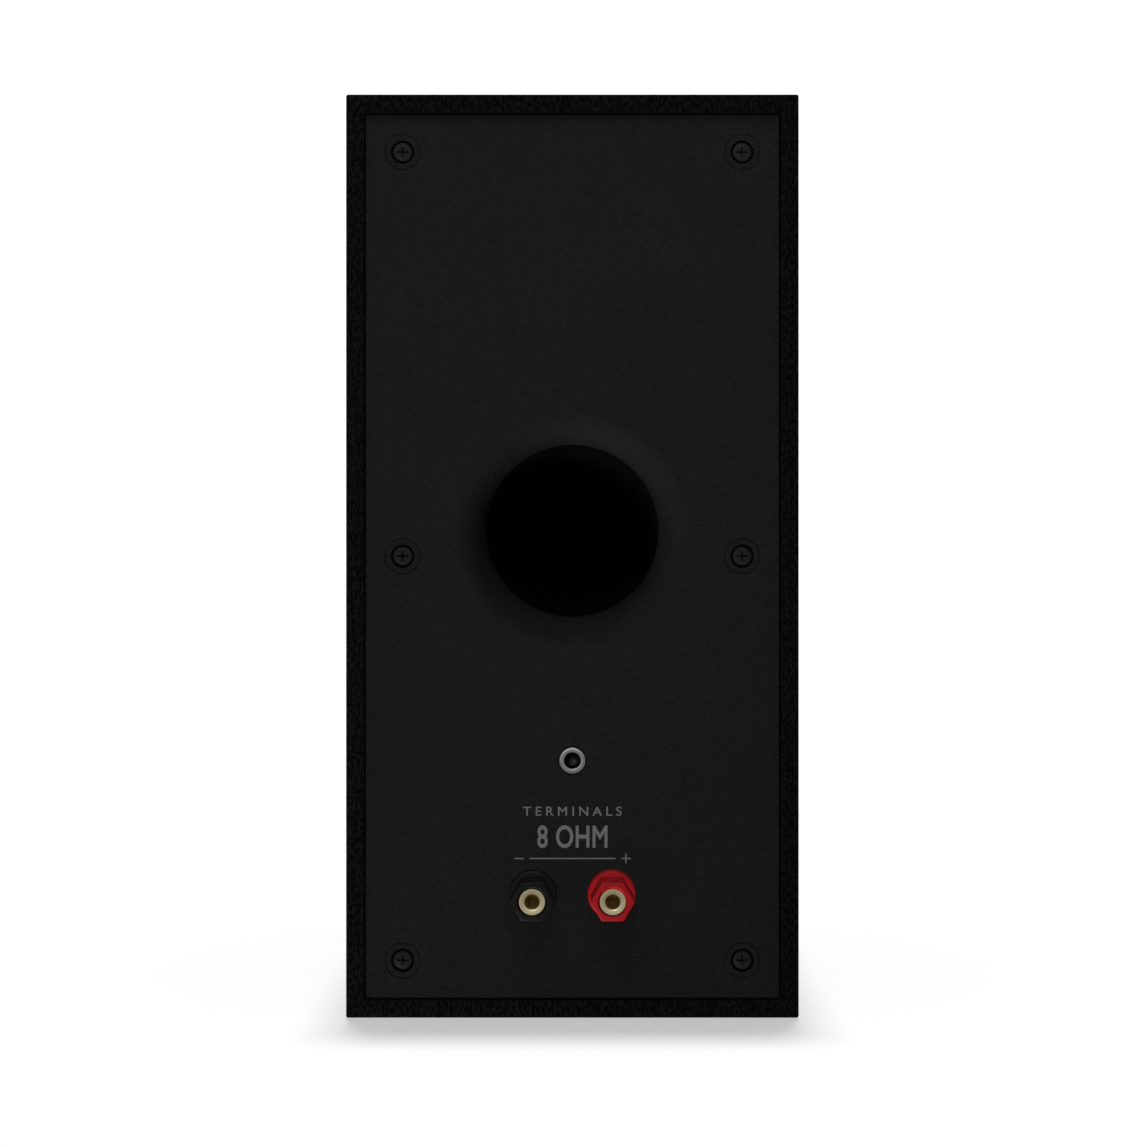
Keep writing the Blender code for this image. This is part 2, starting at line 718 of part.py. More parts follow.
def tweeter():
    """The dome tweeter: a faceplate with a shallow waveguide, a motor, and the moving dome."""
    at = (0, BAFFLE_Y, TWEETER_Z)
    place_it = {"location": at, "rotation": TO_FRONT}
    throat, throat_depth, mouth = 0.0162, -0.0100, 0.0400
    guide = arc(
        (mouth, throat_depth), (throat - mouth, FLANGE_PROUD - throat_depth), 0, 90, 5
    )
    faceplate = turned(
        "tweeter_faceplate",
        [
            *guide,
            (TWEETER_FLANGE, FLANGE_PROUD),
            (TWEETER_FLANGE, -0.0027),
            (0.0350, -0.0027),
            (0.0350, -0.0175),
            (0.0305, -0.0175),
            (0.0305, -0.0125),
            (throat, -0.0125),
        ],
        **place_it,
        finish="moulded_black",
        ring=True,
    )
    cut(
        faceplate,
        driver_screw_holes("face", TWEETER_Z, TWEETER_SCREW_CIRCLE, 0.0019, *THROUGH),
        driver_screw_holes("face_head", TWEETER_Z, TWEETER_SCREW_CIRCLE, 0.0034, -0.0009, ABOVE),
    )
    dome_line = [(0, -0.0082), (0.0058, -0.0092), (0.0100, -0.0114), (0.0124, -0.0135)]
    turned("tweeter_dome", skin(dome_line, 0.0004), **place_it, finish="silk", steps=20)
    surround_line = [(0.0130, -0.0135), (0.0137, -0.0128), (0.0145, -0.0125), (0.0153, -0.0128)]
    surround_line += [(0.0160, -0.0136), (0.0205, -0.0136)]
    turned(
        "tweeter_surround",
        skin(surround_line, 0.0003),
        **place_it,
        finish="silk",
        steps=20,
        ring=True,
    )
    rings = (
        ("tweeter_voice_coil", 0.0119, 0.0125, -0.0142, -0.0195, "copper"),
        ("tweeter_top_plate", 0.0131, 0.0300, -0.0142, -0.0182, "zinc_steel"),
        ("tweeter_magnet", 0.0170, 0.0330, -0.0185, -0.0285, "ferrite"),
    )
    for name, inner, outer, top, bottom, finish in rings:
        profile = [(inner, top), (outer, top), (outer, bottom), (inner, bottom)]
        turned(name, profile, **place_it, finish=finish, steps=20, ring=True)
    turned(
        "tweeter_yoke",
        [(0, -0.0147), (0.0114, -0.0147), (0.0114, -0.0288), (0.0300, -0.0288)]
        + [(0.0300, -0.0338), (0, -0.0338)],
        **place_it,
        finish="zinc_steel",
        steps=20,
    )
    driver_screws(
        "tweeter", TWEETER_Z, TWEETER_SCREW_CIRCLE, 0.0030, 0.0006, -0.0006, 0.0015, -0.0130
    )


def grille():
    """The pull-off grille: a frame with two windows, and the cloth stretched over it."""
    half_width = WIDTH / 2 - GRILLE_MARGIN
    half_height = HEIGHT / 2 - GRILLE_MARGIN
    centre = Vector((0, GRILLE_Y + GRILLE_DEPTH / 2, MIDDLE_Z))
    cloth = box(
        "grille_cloth", (2 * half_width, GRILLE_DEPTH, 2 * half_height), centre, "grille_cloth"
    )
    inside = Vector((2 * (half_width - CLOTH), GRILLE_DEPTH, 2 * (half_height - CLOTH)))
    cut(cloth, box("cloth_inside", inside, centre + Vector((0, CLOTH, 0))))
    frame_low = Vector((-half_width, GRILLE_Y, GRILLE_MARGIN)) + Vector((1, 1, 1)) * (CLOTH + GAP)
    frame_high = Vector((half_width, GRILLE_Y + GRILLE_DEPTH - GAP, HEIGHT - GRILLE_MARGIN))
    frame_high -= Vector((CLOTH + GAP, 0, CLOTH + GAP))
    frame = box_between("grille_frame", frame_low, frame_high, "grille_plastic")
    rail = GRILLE_BAR / 2
    windows = (
        ("lower", frame_low.z + GRILLE_BAR, GRILLE_RAIL_Z - rail),
        ("upper", GRILLE_RAIL_Z + rail, frame_high.z - GRILLE_BAR),
    )
    for name, bottom, top in windows:
        low = (frame_low.x + GRILLE_BAR, GRILLE_Y - ABOVE, bottom)
        high = (frame_high.x - GRILLE_BAR, GRILLE_Y + GRILLE_DEPTH + ABOVE, top)
        cut(frame, box_between(f"grille_window_{name}", low, high))


# ---------------------------------------------------------------- inside
def crossover():
    """The dividing network on the cabinet floor."""
    board_bottom, board = BOARD + 0.006, 0.0016
    top = board_bottom + board + GAP
    box_between(
        "crossover_board",
        (-0.050, -0.026, board_bottom),
        (0.050, 0.044, board_bottom + board),
        "circuit_board",
    )
    coil = [(0.006, 0.020), (0.0165, 0.020), (0.0165, 0), (0.006, 0)]
    turned(
        "crossover_inductor", coil, (-0.028, 0.000, top), (0, 0, 0), "copper", MEDIUM, ring=True
    )
    radius = 0.0085
    rod(
        "crossover_capacitor",
        radius,
        -0.016,
        0.016,
        (0.022, 0.022, top + radius),
        (0, math.radians(90), 0),
        "capacitor",
    )


def leads():
    """The insulated leads between the posts, the crossover and the drivers."""
    tail_y = COVER_Y - STUD_TAIL - GAP
    board_z = BOARD + 0.0095
    for colour, side in (("red", -1), ("black", 1)):
        x = side * POST_X
        points = (
            (x, tail_y, POST_Z),
            (x, tail_y - 0.006, POST_Z),
            (x * 1.15, tail_y - 0.014, POST_Z - 0.005),
            (x * 1.2, tail_y - 0.021, POST_Z - 0.015),
            (x * 1.2, tail_y - 0.029, board_z + 0.0005),
            (x * 1.2, tail_y - 0.036, board_z),
        )
        wire(f"input_lead_{colour}", points, 0.0012, f"wire_{colour}")
    wire(
        "woofer_cable",
        (
            (-0.044, -0.015, board_z + 0.001),
            (-0.048, -0.021, 0.030),
            (-0.051, -0.029, 0.044),
            (-0.050, -0.040, 0.058),
            (-0.0455, -0.050, 0.067),
        ),
        0.0016,
        "wire_black",
    )
    wire(
        "tweeter_cable",
        (
            (0.046, -0.012, board_z + 0.001),
            (0.054, -0.020, 0.030),
            (0.0575, -0.028, 0.050),
            (0.0580, -0.034, 0.100),
            (0.0580, -0.036, 0.160),
            (0.0560, -0.040, 0.200),
            (0.0450, -0.048, 0.218),
            (0.0345, -0.0535, 0.222),
        ),
        0.0016,
        "wire_black",
    )


def damping_wadding():
    """A batt of soft wadding in the top of the chamber."""
    batt = box_between(
        "damping_wadding", (-0.052, -0.030, 0.200), (0.052, 0.056, 0.290), "wadding"
    )
    round_edges(batt, 0.014, 2)


def main():
    """Builds the speaker."""
    cabinet_boards()
    rear_frame()
    cover_gasket()
    rear_cover()
    cover_screws()
    port_tube()
    mounting_insert()
    binding_post("red", -POST_X)
    binding_post("black", POST_X)
    front_baffle()
    woofer()
    tweeter()
    grille()
    crossover()
    leads()
    damping_wadding()


clear_scene()
SPEAKER = new_collection("bookshelf_speaker")
CUTTERS = new_collection("cutters")
main()
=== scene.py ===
"""Looks for a bookshelf speaker, seen from the rear.

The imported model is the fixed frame. Each sub-assembly below is a class that makes finer pieces
around its own nodes of that frame, dresses them and lets them ride on its bodies. The stage holds
the floor, the lights and the camera. All sizes are in metres, and +Y is the rear.
"""

from __future__ import annotations

import logging
import math
from collections.abc import Callable, Iterable, Sequence
from dataclasses import dataclass, field
from enum import Enum
from typing import Any

import bmesh
import bpy
from mathutils import Matrix, Vector


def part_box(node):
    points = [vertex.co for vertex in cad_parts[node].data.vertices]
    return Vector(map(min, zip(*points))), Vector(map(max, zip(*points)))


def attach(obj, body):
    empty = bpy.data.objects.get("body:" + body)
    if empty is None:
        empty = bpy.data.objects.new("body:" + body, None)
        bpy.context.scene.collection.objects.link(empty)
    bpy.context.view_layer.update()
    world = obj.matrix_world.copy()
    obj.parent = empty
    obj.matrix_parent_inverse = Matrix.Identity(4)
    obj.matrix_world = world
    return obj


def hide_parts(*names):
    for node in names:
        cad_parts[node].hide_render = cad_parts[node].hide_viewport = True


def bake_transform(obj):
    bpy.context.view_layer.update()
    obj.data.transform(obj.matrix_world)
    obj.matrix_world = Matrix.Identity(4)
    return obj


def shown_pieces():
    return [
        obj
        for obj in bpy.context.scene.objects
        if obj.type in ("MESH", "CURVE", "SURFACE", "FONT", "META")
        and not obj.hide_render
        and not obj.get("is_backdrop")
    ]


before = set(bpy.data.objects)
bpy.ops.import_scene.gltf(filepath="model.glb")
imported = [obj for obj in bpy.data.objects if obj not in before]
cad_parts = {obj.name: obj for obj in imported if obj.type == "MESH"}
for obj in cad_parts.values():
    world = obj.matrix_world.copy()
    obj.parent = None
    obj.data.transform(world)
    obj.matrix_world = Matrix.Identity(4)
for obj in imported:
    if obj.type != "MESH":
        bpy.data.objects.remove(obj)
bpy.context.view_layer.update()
HALF_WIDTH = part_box("front_baffle")[1].x
HALF_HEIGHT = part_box("front_baffle")[1].z / 2

log = logging.getLogger("bookshelf_speaker")

Triple = tuple[float, float, float]
RGB = Triple
Point = tuple[float, float]  # radius and height of a turned profile, or two flat coordinates
Relief = Callable[[float, float, float], float]  # radius, height and angle to a new radius

CLEARANCE = 0.0003  # between pieces that touch, as in the frame
ROUNDNESS = 96  # steps round a large turned piece
SMOOTH_UNDER = math.radians(34)  # edges flatter than this are shaded smooth
ABOVE = 0.01  # where a cutter starts, over the face that it cuts
BEHIND = -0.02  # where a cutter ends that goes right through
INK = 0.00004  # how thick the print is
WAVE_SCALE = math.tau / 20  # the wave texture's scale for one band a metre
BLACK: RGB = (0.002, 0.002, 0.002)


# ---------------------------------------------------------------- finishes
class Pattern(Enum):
    """The patterns that a layer of texture can follow."""

    CLOUDS = "clouds"
    CELLS = "cells"
    BANDS = "bands"
    RINGS = "rings"
    WEAVE = "weave"


@dataclass(frozen=True)
class Layer:
    """One layer of texture: where its pattern is strong it tints, dulls and raises the surface."""

    pattern: Pattern
    per_metre: float
    tint: float = 0.0
    second: RGB = BLACK
    dulls: float = 0.0
    relief: float = 0.0
    between: Point = (0.3, 0.7)
    stretch: Triple = (1.0, 1.0, 1.0)
    wander: float = 0.0


@dataclass(frozen=True)
class Finish:
    """A surface: its plain values, and the layers of texture on them."""

    name: str
    colour: RGB
    roughness: float = 0.5
    metallic: float = 0.0
    specular: float = 0.5
    sheen: float = 0.0
    layers: tuple[Layer, ...] = ()

    def build(self) -> bpy.types.Material:
        """Makes the material, or finds it if it is made already.

        Returns:
            The material, with its node tree.
        """
        found = bpy.data.materials.get(self.name)
        if found:
            return found
        shader = Shader(self.name)
        surface = shader.surface
        surface["Base Color"].default_value = (*self.colour, 1)
        surface["Roughness"].default_value = self.roughness
        surface["Metallic"].default_value = self.metallic
        surface["Specular IOR Level"].default_value = self.specular
        surface["Sheen Weight"].default_value = self.sheen
        for layer in self.layers:
            shader.lay(layer)
        return shader.material


class Shader:
    """The node tree of a material, which grows layer by layer."""

    def __init__(self, name: str) -> None:
        """Starts a material whose tree holds one Principled shader.

        Args:
            name: The material's name.
        """
        self.material = bpy.data.materials.new(name)
        self.material.use_nodes = True
        self.tree = self.material.node_tree
        self.surface = self.tree.nodes["Principled BSDF"].inputs
        self.place = self.node("ShaderNodeTexCoord").outputs["Object"]
        self.heights: bpy.types.NodeSocket | None = None

    def node(self, kind: str, values: dict[str | int, Any] | None = None, **settings: Any) -> Any:
        """Adds a node.

        Args:
            kind: The node's type.
            values: What goes into its sockets: another socket is linked, anything else is set.
            **settings: The node's own properties.

        Returns:
            The node.
        """
        made = self.tree.nodes.new(kind)
        for key, value in settings.items():
            setattr(made, key, value)
        for key, value in (values or {}).items():
            if isinstance(value, bpy.types.NodeSocket):
                self.tree.links.new(value, made.inputs[key])
            else:
                made.inputs[key].default_value = value
        return made

    def pattern(self, layer: Layer) -> bpy.types.NodeSocket:
        """Adds the nodes of a layer's pattern.

        Args:
            layer: The layer of texture.

        Returns:
            The socket with the pattern's value, roughly from 0 to 1.
        """
        place = self.node(
            "ShaderNodeMapping", {"Vector": self.place, "Scale": layer.stretch}
        ).outputs[0]
        scale = layer.per_metre * WAVE_SCALE
        wave = {"Vector": place, "Scale": scale, "Distortion": layer.wander}
        if layer.pattern is Pattern.CLOUDS:
            values = {"Vector": place, "Scale": layer.per_metre, "Detail": 3.0}
            return self.node("ShaderNodeTexNoise", values).outputs[0]
        if layer.pattern is Pattern.CELLS:
            values = {"Vector": place, "Scale": layer.per_metre}
            return self.node("ShaderNodeTexVoronoi", values).outputs["Distance"]
        if layer.pattern is Pattern.BANDS:
            return self.node("ShaderNodeTexWave", wave, bands_direction="X").outputs["Fac"]
        if layer.pattern is Pattern.RINGS:
            rings = {"wave_type": "RINGS", "rings_direction": "Z"}
            return self.node("ShaderNodeTexWave", wave, **rings).outputs["Fac"]
        across = self.node("ShaderNodeTexWave", wave, bands_direction="X").outputs["Fac"]
        upwards = self.node("ShaderNodeTexWave", wave, bands_direction="Z").outputs["Fac"]
        return self.node("ShaderNodeMath", {0: across, 1: upwards}, operation="MULTIPLY").outputs[0]

    def lay(self, layer: Layer) -> None:
        """Adds a layer of texture over those that are there.

        Args:
            layer: The layer of texture.
        """
        low, high = layer.between
        spread = {"Value": self.pattern(layer), "From Min": low, "From Max": high}
        strength = self.node("ShaderNodeMapRange", spread).outputs[0]
        if layer.tint:
            amount = self.node(
                "ShaderNodeMath", {0: strength, 1: layer.tint}, operation="MULTIPLY"
            ).outputs[0]
            mix = self.node("ShaderNodeMix", {0: amount, 7: (*layer.second, 1)}, data_type="RGBA")
            self.carry("Base Color", mix.inputs[6])
            self.tree.links.new(mix.outputs[2], self.surface["Base Color"])
        if layer.dulls:
            change = {0: strength, 1: layer.dulls}
            add = self.node("ShaderNodeMath", change, operation="MULTIPLY_ADD")
            self.carry("Roughness", add.inputs[2])
            self.tree.links.new(add.outputs[0], self.surface["Roughness"])
        if layer.relief:
            bump = self.node("ShaderNodeBump", {"Height": strength, "Distance": layer.relief})
            if self.heights:
                self.tree.links.new(self.heights, bump.inputs["Normal"])
            self.heights = bump.outputs[0]
            self.tree.links.new(self.heights, self.surface["Normal"])

    def carry(self, name: str, into: bpy.types.NodeSocket) -> None:
        """Hands what a surface socket holds so far to another socket.

        Args:
            name: The surface socket's name.
            into: The socket that takes over its link or its value.
        """
        socket = self.surface[name]
        if socket.is_linked:
            self.tree.links.new(socket.links[0].from_socket, into)
        else:
            into.default_value = socket.default_value


class Grain(Enum):
    """How the wood grain runs on a vinyl-wrapped board, as the stretch of its pattern."""

    UPWARDS = (1.0, 1.0, 0.045)
    REARWARDS = (1.0, 0.045, 0.045)


PORES: Triple = (1.0, 1.0, 0.5)  # the stretch of the grain's short dark pores


def vinyl(grain: Grain) -> Finish:
    """Black vinyl with an embossed wood grain.

    Args:
        grain: How the grain runs.

    Returns:
        The finish.
    """
    run = grain.value
    return Finish(
        f"vinyl_{grain.name.lower()}",
        (0.0038, 0.0038, 0.0039),
        roughness=0.6,
        specular=0.10,
        layers=(
            Layer(Pattern.CLOUDS, 120, tint=0.35, between=(0.35, 0.75), stretch=run),
            Layer(Pattern.CLOUDS, 900, 0.8, BLACK, 0.15, 0.00012, (0.50, 0.62), run),
            Layer(Pattern.CLOUDS, 2200, 0.7, (0.010, 0.010, 0.011), 0.1, 0.00006, (0.4, 0.65), run),
            Layer(Pattern.CLOUDS, 1100, 1.0, (0.0, 0.0, 0.0), 0.2, 0.00016, (0.47, 0.54), PORES),
        ),
    )


def metal(name: str, colour: RGB, roughness: float, marks: float = 1500) -> Finish:
    """A plated metal with the fine rings of the lathe.

    Args:
        name: The finish's name.
        colour: The plating's colour.
        roughness: How dull it is.
        marks: The lathe's marks for each metre.

    Returns:
        The finish.
    """
    return Finish(
        name,
        colour,
        roughness,
        metallic=1.0,
        layers=(
            Layer(Pattern.RINGS, marks, relief=0.000004, between=(0.0, 1.0), wander=0.4),
            Layer(Pattern.CLOUDS, 260, tint=0.12, second=(0.2, 0.17, 0.1), dulls=0.12),
        ),
    )


def moulded(
    name: str, colour: RGB, roughness: float, grain: float = 0.00005, shine: float = 0.4
) -> Finish:
    """A plastic moulding with a fine spark-eroded skin.

    Args:
        name: The finish's name.
        colour: The plastic's colour.
        roughness: How dull it is.
        grain: How high the skin's grain stands.
        shine: How strongly it reflects.

    Returns:
        The finish.
    """
    lighter: RGB = tuple(1.9 * c + 0.003 for c in colour)
    return Finish(
        name,
        colour,
        roughness,
        specular=shine,
        layers=(
            Layer(Pattern.CLOUDS, 1600, 0.8, lighter, 0.08, grain, (0.42, 0.60)),
            Layer(Pattern.CLOUDS, 30, 0.10, BLACK, 0.05),
        ),
    )


COVER_SKIN = moulded("cover_skin", (0.0068, 0.0068, 0.0069), 0.66, 0.00010, 0.20)
# The port tube's black plastic, made far darker than the cover's same plastic: painted shade that keeps the
# inside of the port black.
PORT_BLACK_PAINTED_SHADE = moulded("port_skin", (0.0004, 0.0004, 0.0004), 0.8, 0.00001, 0.05)
FACEPLATE_SKIN = moulded("faceplate_skin", (0.009, 0.009, 0.0095), 0.45, 0.00002)
GRILLE_FRAME_SKIN = moulded("grille_frame_skin", (0.012, 0.012, 0.012), 0.6)
BLACK_CAP = moulded("black_cap_plastic", (0.0050, 0.0054, 0.0050), 0.42, 0.000006, 0.25)
RED_CAP = Finish(
    "red_cap_plastic",
    (0.57, 0.010, 0.016),
    roughness=0.40,
    specular=0.3,
    layers=(
        Layer(Pattern.CLOUDS, 420, tint=0.2, second=(0.46, 0.006, 0.010), dulls=0.1),
        Layer(Pattern.CLOUDS, 2600, relief=0.000006),
    ),
)
GOLD = metal("gold_plate", (0.93, 0.80, 0.50), 0.34)
SOCKET_BRASS = metal("socket_brass", (0.80, 0.64, 0.34), 0.40)
NICKEL = metal("nickel_plate", (0.36, 0.355, 0.35), 0.30)
ZINC = metal("zinc_plate", (0.55, 0.56, 0.54), 0.42, 900)
BLACK_STEEL = Finish(
    "black_oxide_steel",
    (0.009, 0.009, 0.0093),
    roughness=0.5,
    specular=0.3,
    layers=(
        Layer(Pattern.CLOUDS, 1800, 0.3, (0.03, 0.03, 0.03), 0.15, 0.00001),
        Layer(Pattern.RINGS, 2200, relief=0.000004, between=(0.0, 1.0), wander=0.6),
    ),
)
# Dark metal for the insert's bore and thread: painted shade deep in the bore.
THREAD_PAINTED_SHADE = Finish(
    "oiled_thread",
    (0.035, 0.033, 0.031),
    roughness=0.35,
    metallic=1.0,
    layers=(Layer(Pattern.CLOUDS, 900, 0.4, (0.012, 0.011, 0.010), 0.15),),
)
FRAME_PAINT = Finish(
    "basket_paint",
    (0.012, 0.012, 0.0125),
    roughness=0.45,
    layers=(Layer(Pattern.CLOUDS, 900, 0.2, (0.02, 0.02, 0.02), 0.12, 0.00003),),
)
BAFFLE_PAINT = Finish(
    "baffle_paint",
    (0.010, 0.010, 0.0105),
    roughness=0.34,
    layers=(Layer(Pattern.CLOUDS, 600, 0.15, (0.016, 0.016, 0.016), 0.10, 0.00002),),
)
# Near-black, dull rear face of the baffle, in place of its bare board: painted shade, so the view through
# the port stays black.
BAFFLE_BACK_PAINTED_SHADE = Finish(
    "baffle_sealer",
    (0.0020, 0.0020, 0.0020),
    roughness=0.95,
    specular=0.05,
    layers=(Layer(Pattern.CLOUDS, 300, 0.4, BLACK, 0.0, 0.00004),),
)
RAW_BOARD = Finish(
    "raw_board",
    (0.33, 0.22, 0.13),
    roughness=0.85,
    layers=(
        Layer(Pattern.CLOUDS, 1400, 0.6, (0.22, 0.14, 0.08), 0.1, 0.00008, (0.35, 0.65)),
        Layer(Pattern.CLOUDS, 90, 0.3, (0.38, 0.27, 0.17)),
    ),
)
FERRITE = Finish(
    "ferrite",
    (0.045, 0.045, 0.05),
    roughness=0.6,
    layers=(Layer(Pattern.CLOUDS, 1500, 0.4, (0.075, 0.075, 0.08), 0.15, 0.00004),),
)
RUBBER = Finish(
    "rubber",
    (0.014, 0.014, 0.014),
    roughness=0.62,
    layers=(Layer(Pattern.CLOUDS, 1600, 0.2, (0.025, 0.025, 0.025), 0.1, 0.00002),),
)
FOAM = Finish(
    "foam",
    (0.03, 0.03, 0.03),
    roughness=0.95,
    layers=(Layer(Pattern.CELLS, 1500, 0.5, BLACK, 0.0, 0.0002, (0.1, 0.7)),),
)
CONE_PULP = Finish(
    "cone_pulp",
    (0.026, 0.026, 0.028),
    roughness=0.62,
    layers=(
        Layer(Pattern.CLOUDS, 900, 0.5, (0.045, 0.045, 0.05), 0.15, 0.00006, (0.4, 0.7)),
        Layer(Pattern.RINGS, 350, relief=0.00002, between=(0.0, 1.0), wander=1.0),
    ),
)
DOME_SILK = Finish(
    "dome_silk",
    (0.016, 0.016, 0.017),
    roughness=0.55,
    sheen=0.2,
    layers=(Layer(Pattern.WEAVE, 2600, 0.4, (0.035, 0.035, 0.035), 0.1, 0.00003, (0.0, 1.0)),),
)
SPIDER_CLOTH = Finish(
    "spider_cloth",
    (0.45, 0.30, 0.12),
    roughness=0.85,
    layers=(Layer(Pattern.WEAVE, 1400, 0.5, (0.30, 0.18, 0.06), 0.0, 0.00006, (0.0, 1.0)),),
)
COPPER = Finish(
    "enamelled_copper",
    (0.66, 0.26, 0.10),
    roughness=0.28,
    metallic=1.0,
    layers=(Layer(Pattern.CLOUDS, 700, 0.3, (0.45, 0.14, 0.05), 0.12),),
)
BOARD_GREEN = Finish(
    "circuit_board",
    (0.015, 0.085, 0.04),
    roughness=0.4,
    layers=(
        Layer(Pattern.BANDS, 90, 0.5, (0.03, 0.15, 0.07), 0.0, 0.00003, (0.8, 0.9), wander=3.0),
        Layer(Pattern.CLOUDS, 400, 0.2, (0.01, 0.05, 0.03), 0.1),
    ),
)
CAPACITOR_FILM = Finish(
    "capacitor_film",
    (0.42, 0.10, 0.018),
    roughness=0.3,
    layers=(Layer(Pattern.CLOUDS, 200, 0.3, (0.30, 0.06, 0.01), 0.15, 0.00003),),
)
CERAMIC = Finish(
    "resistor_ceramic",
    (0.72, 0.70, 0.64),
    roughness=0.7,
    layers=(Layer(Pattern.CLOUDS, 800, 0.3, (0.6, 0.57, 0.5), 0.1, 0.00004),),
)
SOLDER = metal("solder", (0.70, 0.70, 0.68), 0.25, 400)
BLACK_SLEEVE = moulded("black_sleeve", (0.012, 0.012, 0.012), 0.45, 0.00001)
RED_SLEEVE = moulded("red_sleeve", (0.36, 0.012, 0.014), 0.45, 0.00001)
PRINT_INK = Finish(
    "print_ink",
    (0.23, 0.23, 0.235),
    roughness=0.6,
    layers=(Layer(Pattern.CLOUDS, 1800, 0.3, (0.16, 0.16, 0.16), 0.1),),
)
GRILLE_KNIT = Finish(
    "grille_knit",
    (0.006, 0.006, 0.006),
    roughness=0.9,
    sheen=0.15,
    layers=(
        Layer(Pattern.WEAVE, 1100, 0.9, (0.030, 0.030, 0.031), 0.0, 0.00025, (0.05, 0.8)),
        Layer(Pattern.CLOUDS, 300, 0.3, BLACK, 0.0),
    ),
)
FIBRE = Finish(
    "fibre",
    (0.78, 0.78, 0.75),
    roughness=0.95,
    sheen=0.4,
    layers=(
        Layer(Pattern.CLOUDS, 700, 0.5, (0.6, 0.6, 0.57), 0.0, 0.0008, (0.3, 0.7), wander=2.0),
    ),
)


# ---------------------------------------------------------------- shapes
class Facing(Enum):
    """Which way a piece that is drawn along +Z is turned, as Euler angles."""

    UP = (0.0, 0.0, 0.0)
    FRONT = (math.pi / 2, 0.0, 0.0)
    REAR = (-math.pi / 2, 0.0, 0.0)
    ACROSS = (0.0, math.pi / 2, 0.0)


def arc(centre: Point, radii: Point, start: float, end: float, count: int) -> list[Point]:
    """Points on an ellipse.

    Args:
        centre: Its centre.
        radii: Its radii across and up.
        start: The first point's angle, in degrees.
        end: The last point's angle, in degrees.
        count: How many points.

    Returns:
        The points.
    """
    angles = [math.radians(start + (end - start) * i / (count - 1)) for i in range(count)]
    return [(centre[0] + radii[0] * math.cos(a), centre[1] + radii[1] * math.sin(a)) for a in angles]


def soften(points: Sequence[Point], radius: float, closed: bool = False) -> list[Point]:
    """Rounds the corners of an outline.

    Args:
        points: The outline.
        radius: How far a rounding starts before its corner.
        closed: Whether the last point joins the first.

    Returns:
        The outline with each sharp corner replaced by a short curve.
    """
    flat_turn = math.radians(18)
    corners = [Vector(p) for p in points]
    soft: list[Point] = []
    for i, corner in enumerate(corners):
        if not closed and i in (0, len(corners) - 1):
            soft.append(tuple(corner))
            continue
        before = corners[i - 1] - corner
        after = corners[(i + 1) % len(corners)] - corner
        if before.length < 1e-7 or after.length < 1e-7 or before.angle(-after) < flat_turn:
            soft.append(tuple(corner))
            continue
        reach = min(radius, before.length * 0.45, after.length * 0.45)
        a = corner + before.normalized() * reach
        b = corner + after.normalized() * reach
        for t in (0.0, 0.33, 0.67, 1.0):
            soft.append(tuple(a.lerp(corner, t).lerp(corner.lerp(b, t), t)))
    return soft


def skin(line: Sequence[Point], thickness: float) -> list[Point]:
    """The closed outline of a thin wall.

    Args:
        line: Its middle line, outwards from its smallest radius.
        thickness: The wall's thickness.

    Returns:
        The outline: out along one side and back along the other.
    """
    front, back = [], []
    for i, (radius, height) in enumerate(line):
        before, after = line[max(i - 1, 0)], line[min(i + 1, len(line) - 1)]
        along = Vector((after[0] - before[0], after[1] - before[1])).normalized()
        side = Vector((-along.y, along.x)) * thickness / 2
        if radius < 1e-6:
            side.x = 0
        front.append((radius + side.x, height + side.y))
        back.append((radius - side.x, height - side.y))
    return front + back[::-1]


def spline(points: Sequence[Sequence[float]], parts: int = 6) -> list[Vector]:
    """A smooth curve through points.

    Args:
        points: The points, in two or three dimensions.
        parts: How many points are made for each stretch.

    Returns:
        The curve's points.
    """
    through = [Vector(p) for p in points]
    ends = [2 * through[0] - through[1], *through, 2 * through[-1] - through[-2]]
    fine: list[Vector] = []
    for a, b, c, d in zip(ends, ends[1:], ends[2:], ends[3:]):
        for i in range(parts):
            t = i / parts
            bend = (2 * a - 5 * b + 4 * c - d) * t * t + (3 * b - a - 3 * c + d) * t**3
            fine.append(b + ((c - a) * t + bend) / 2)
    return [*fine, through[-1]]


def to_mesh(name: str, shape: bmesh.types.BMesh) -> bpy.types.Mesh:
    """Turns a bmesh into a mesh with its faces pointing out.

    Args:
        name: The mesh's name.
        shape: The bmesh, which is freed.

    Returns:
        The mesh.
    """
    bmesh.ops.recalc_face_normals(shape, faces=shape.faces)
    mesh = bpy.data.meshes.new(name)
    shape.to_mesh(mesh)
    shape.free()
    return mesh


def lathe(
    name: str,
    profile: Sequence[Point],
    steps: int = ROUNDNESS,
    ring: bool = False,
    relief: Relief | None = None,
) -> bpy.types.Mesh:
    """Turns a profile about +Z.

    Args:
        name: The mesh's name.
        profile: Points of radius and height.
        steps: How many steps the turn has.
        ring: Whether the profile closes on itself. Otherwise it starts and ends on the axis.
        relief: Moves each point in or out, given its radius, height and angle.

    Returns:
        The closed mesh.
    """
    shape = bmesh.new()
    rows = []
    for radius, height in profile:
        if radius < 1e-7:
            rows.append([shape.verts.new((0, 0, height))])
            continue
        row = []
        for i in range(steps):
            angle = math.tau * i / steps
            reach = relief(radius, height, angle) if relief else radius
            row.append(
                shape.verts.new((reach * math.cos(angle), reach * math.sin(angle), height))
            )
        rows.append(row)
    pairs = list(zip(rows, rows[1:] + rows[:1])) if ring else list(zip(rows, rows[1:]))
    for low, high in pairs:
        for i in range(steps):
            j = (i + 1) % steps
            corners = [low[i % len(low)], low[j % len(low)], high[j % len(high)], high[i % len(high)]]
            face = list(dict.fromkeys(corners))
            if len(face) > 2:
                shape.faces.new(face)
    return to_mesh(name, shape)


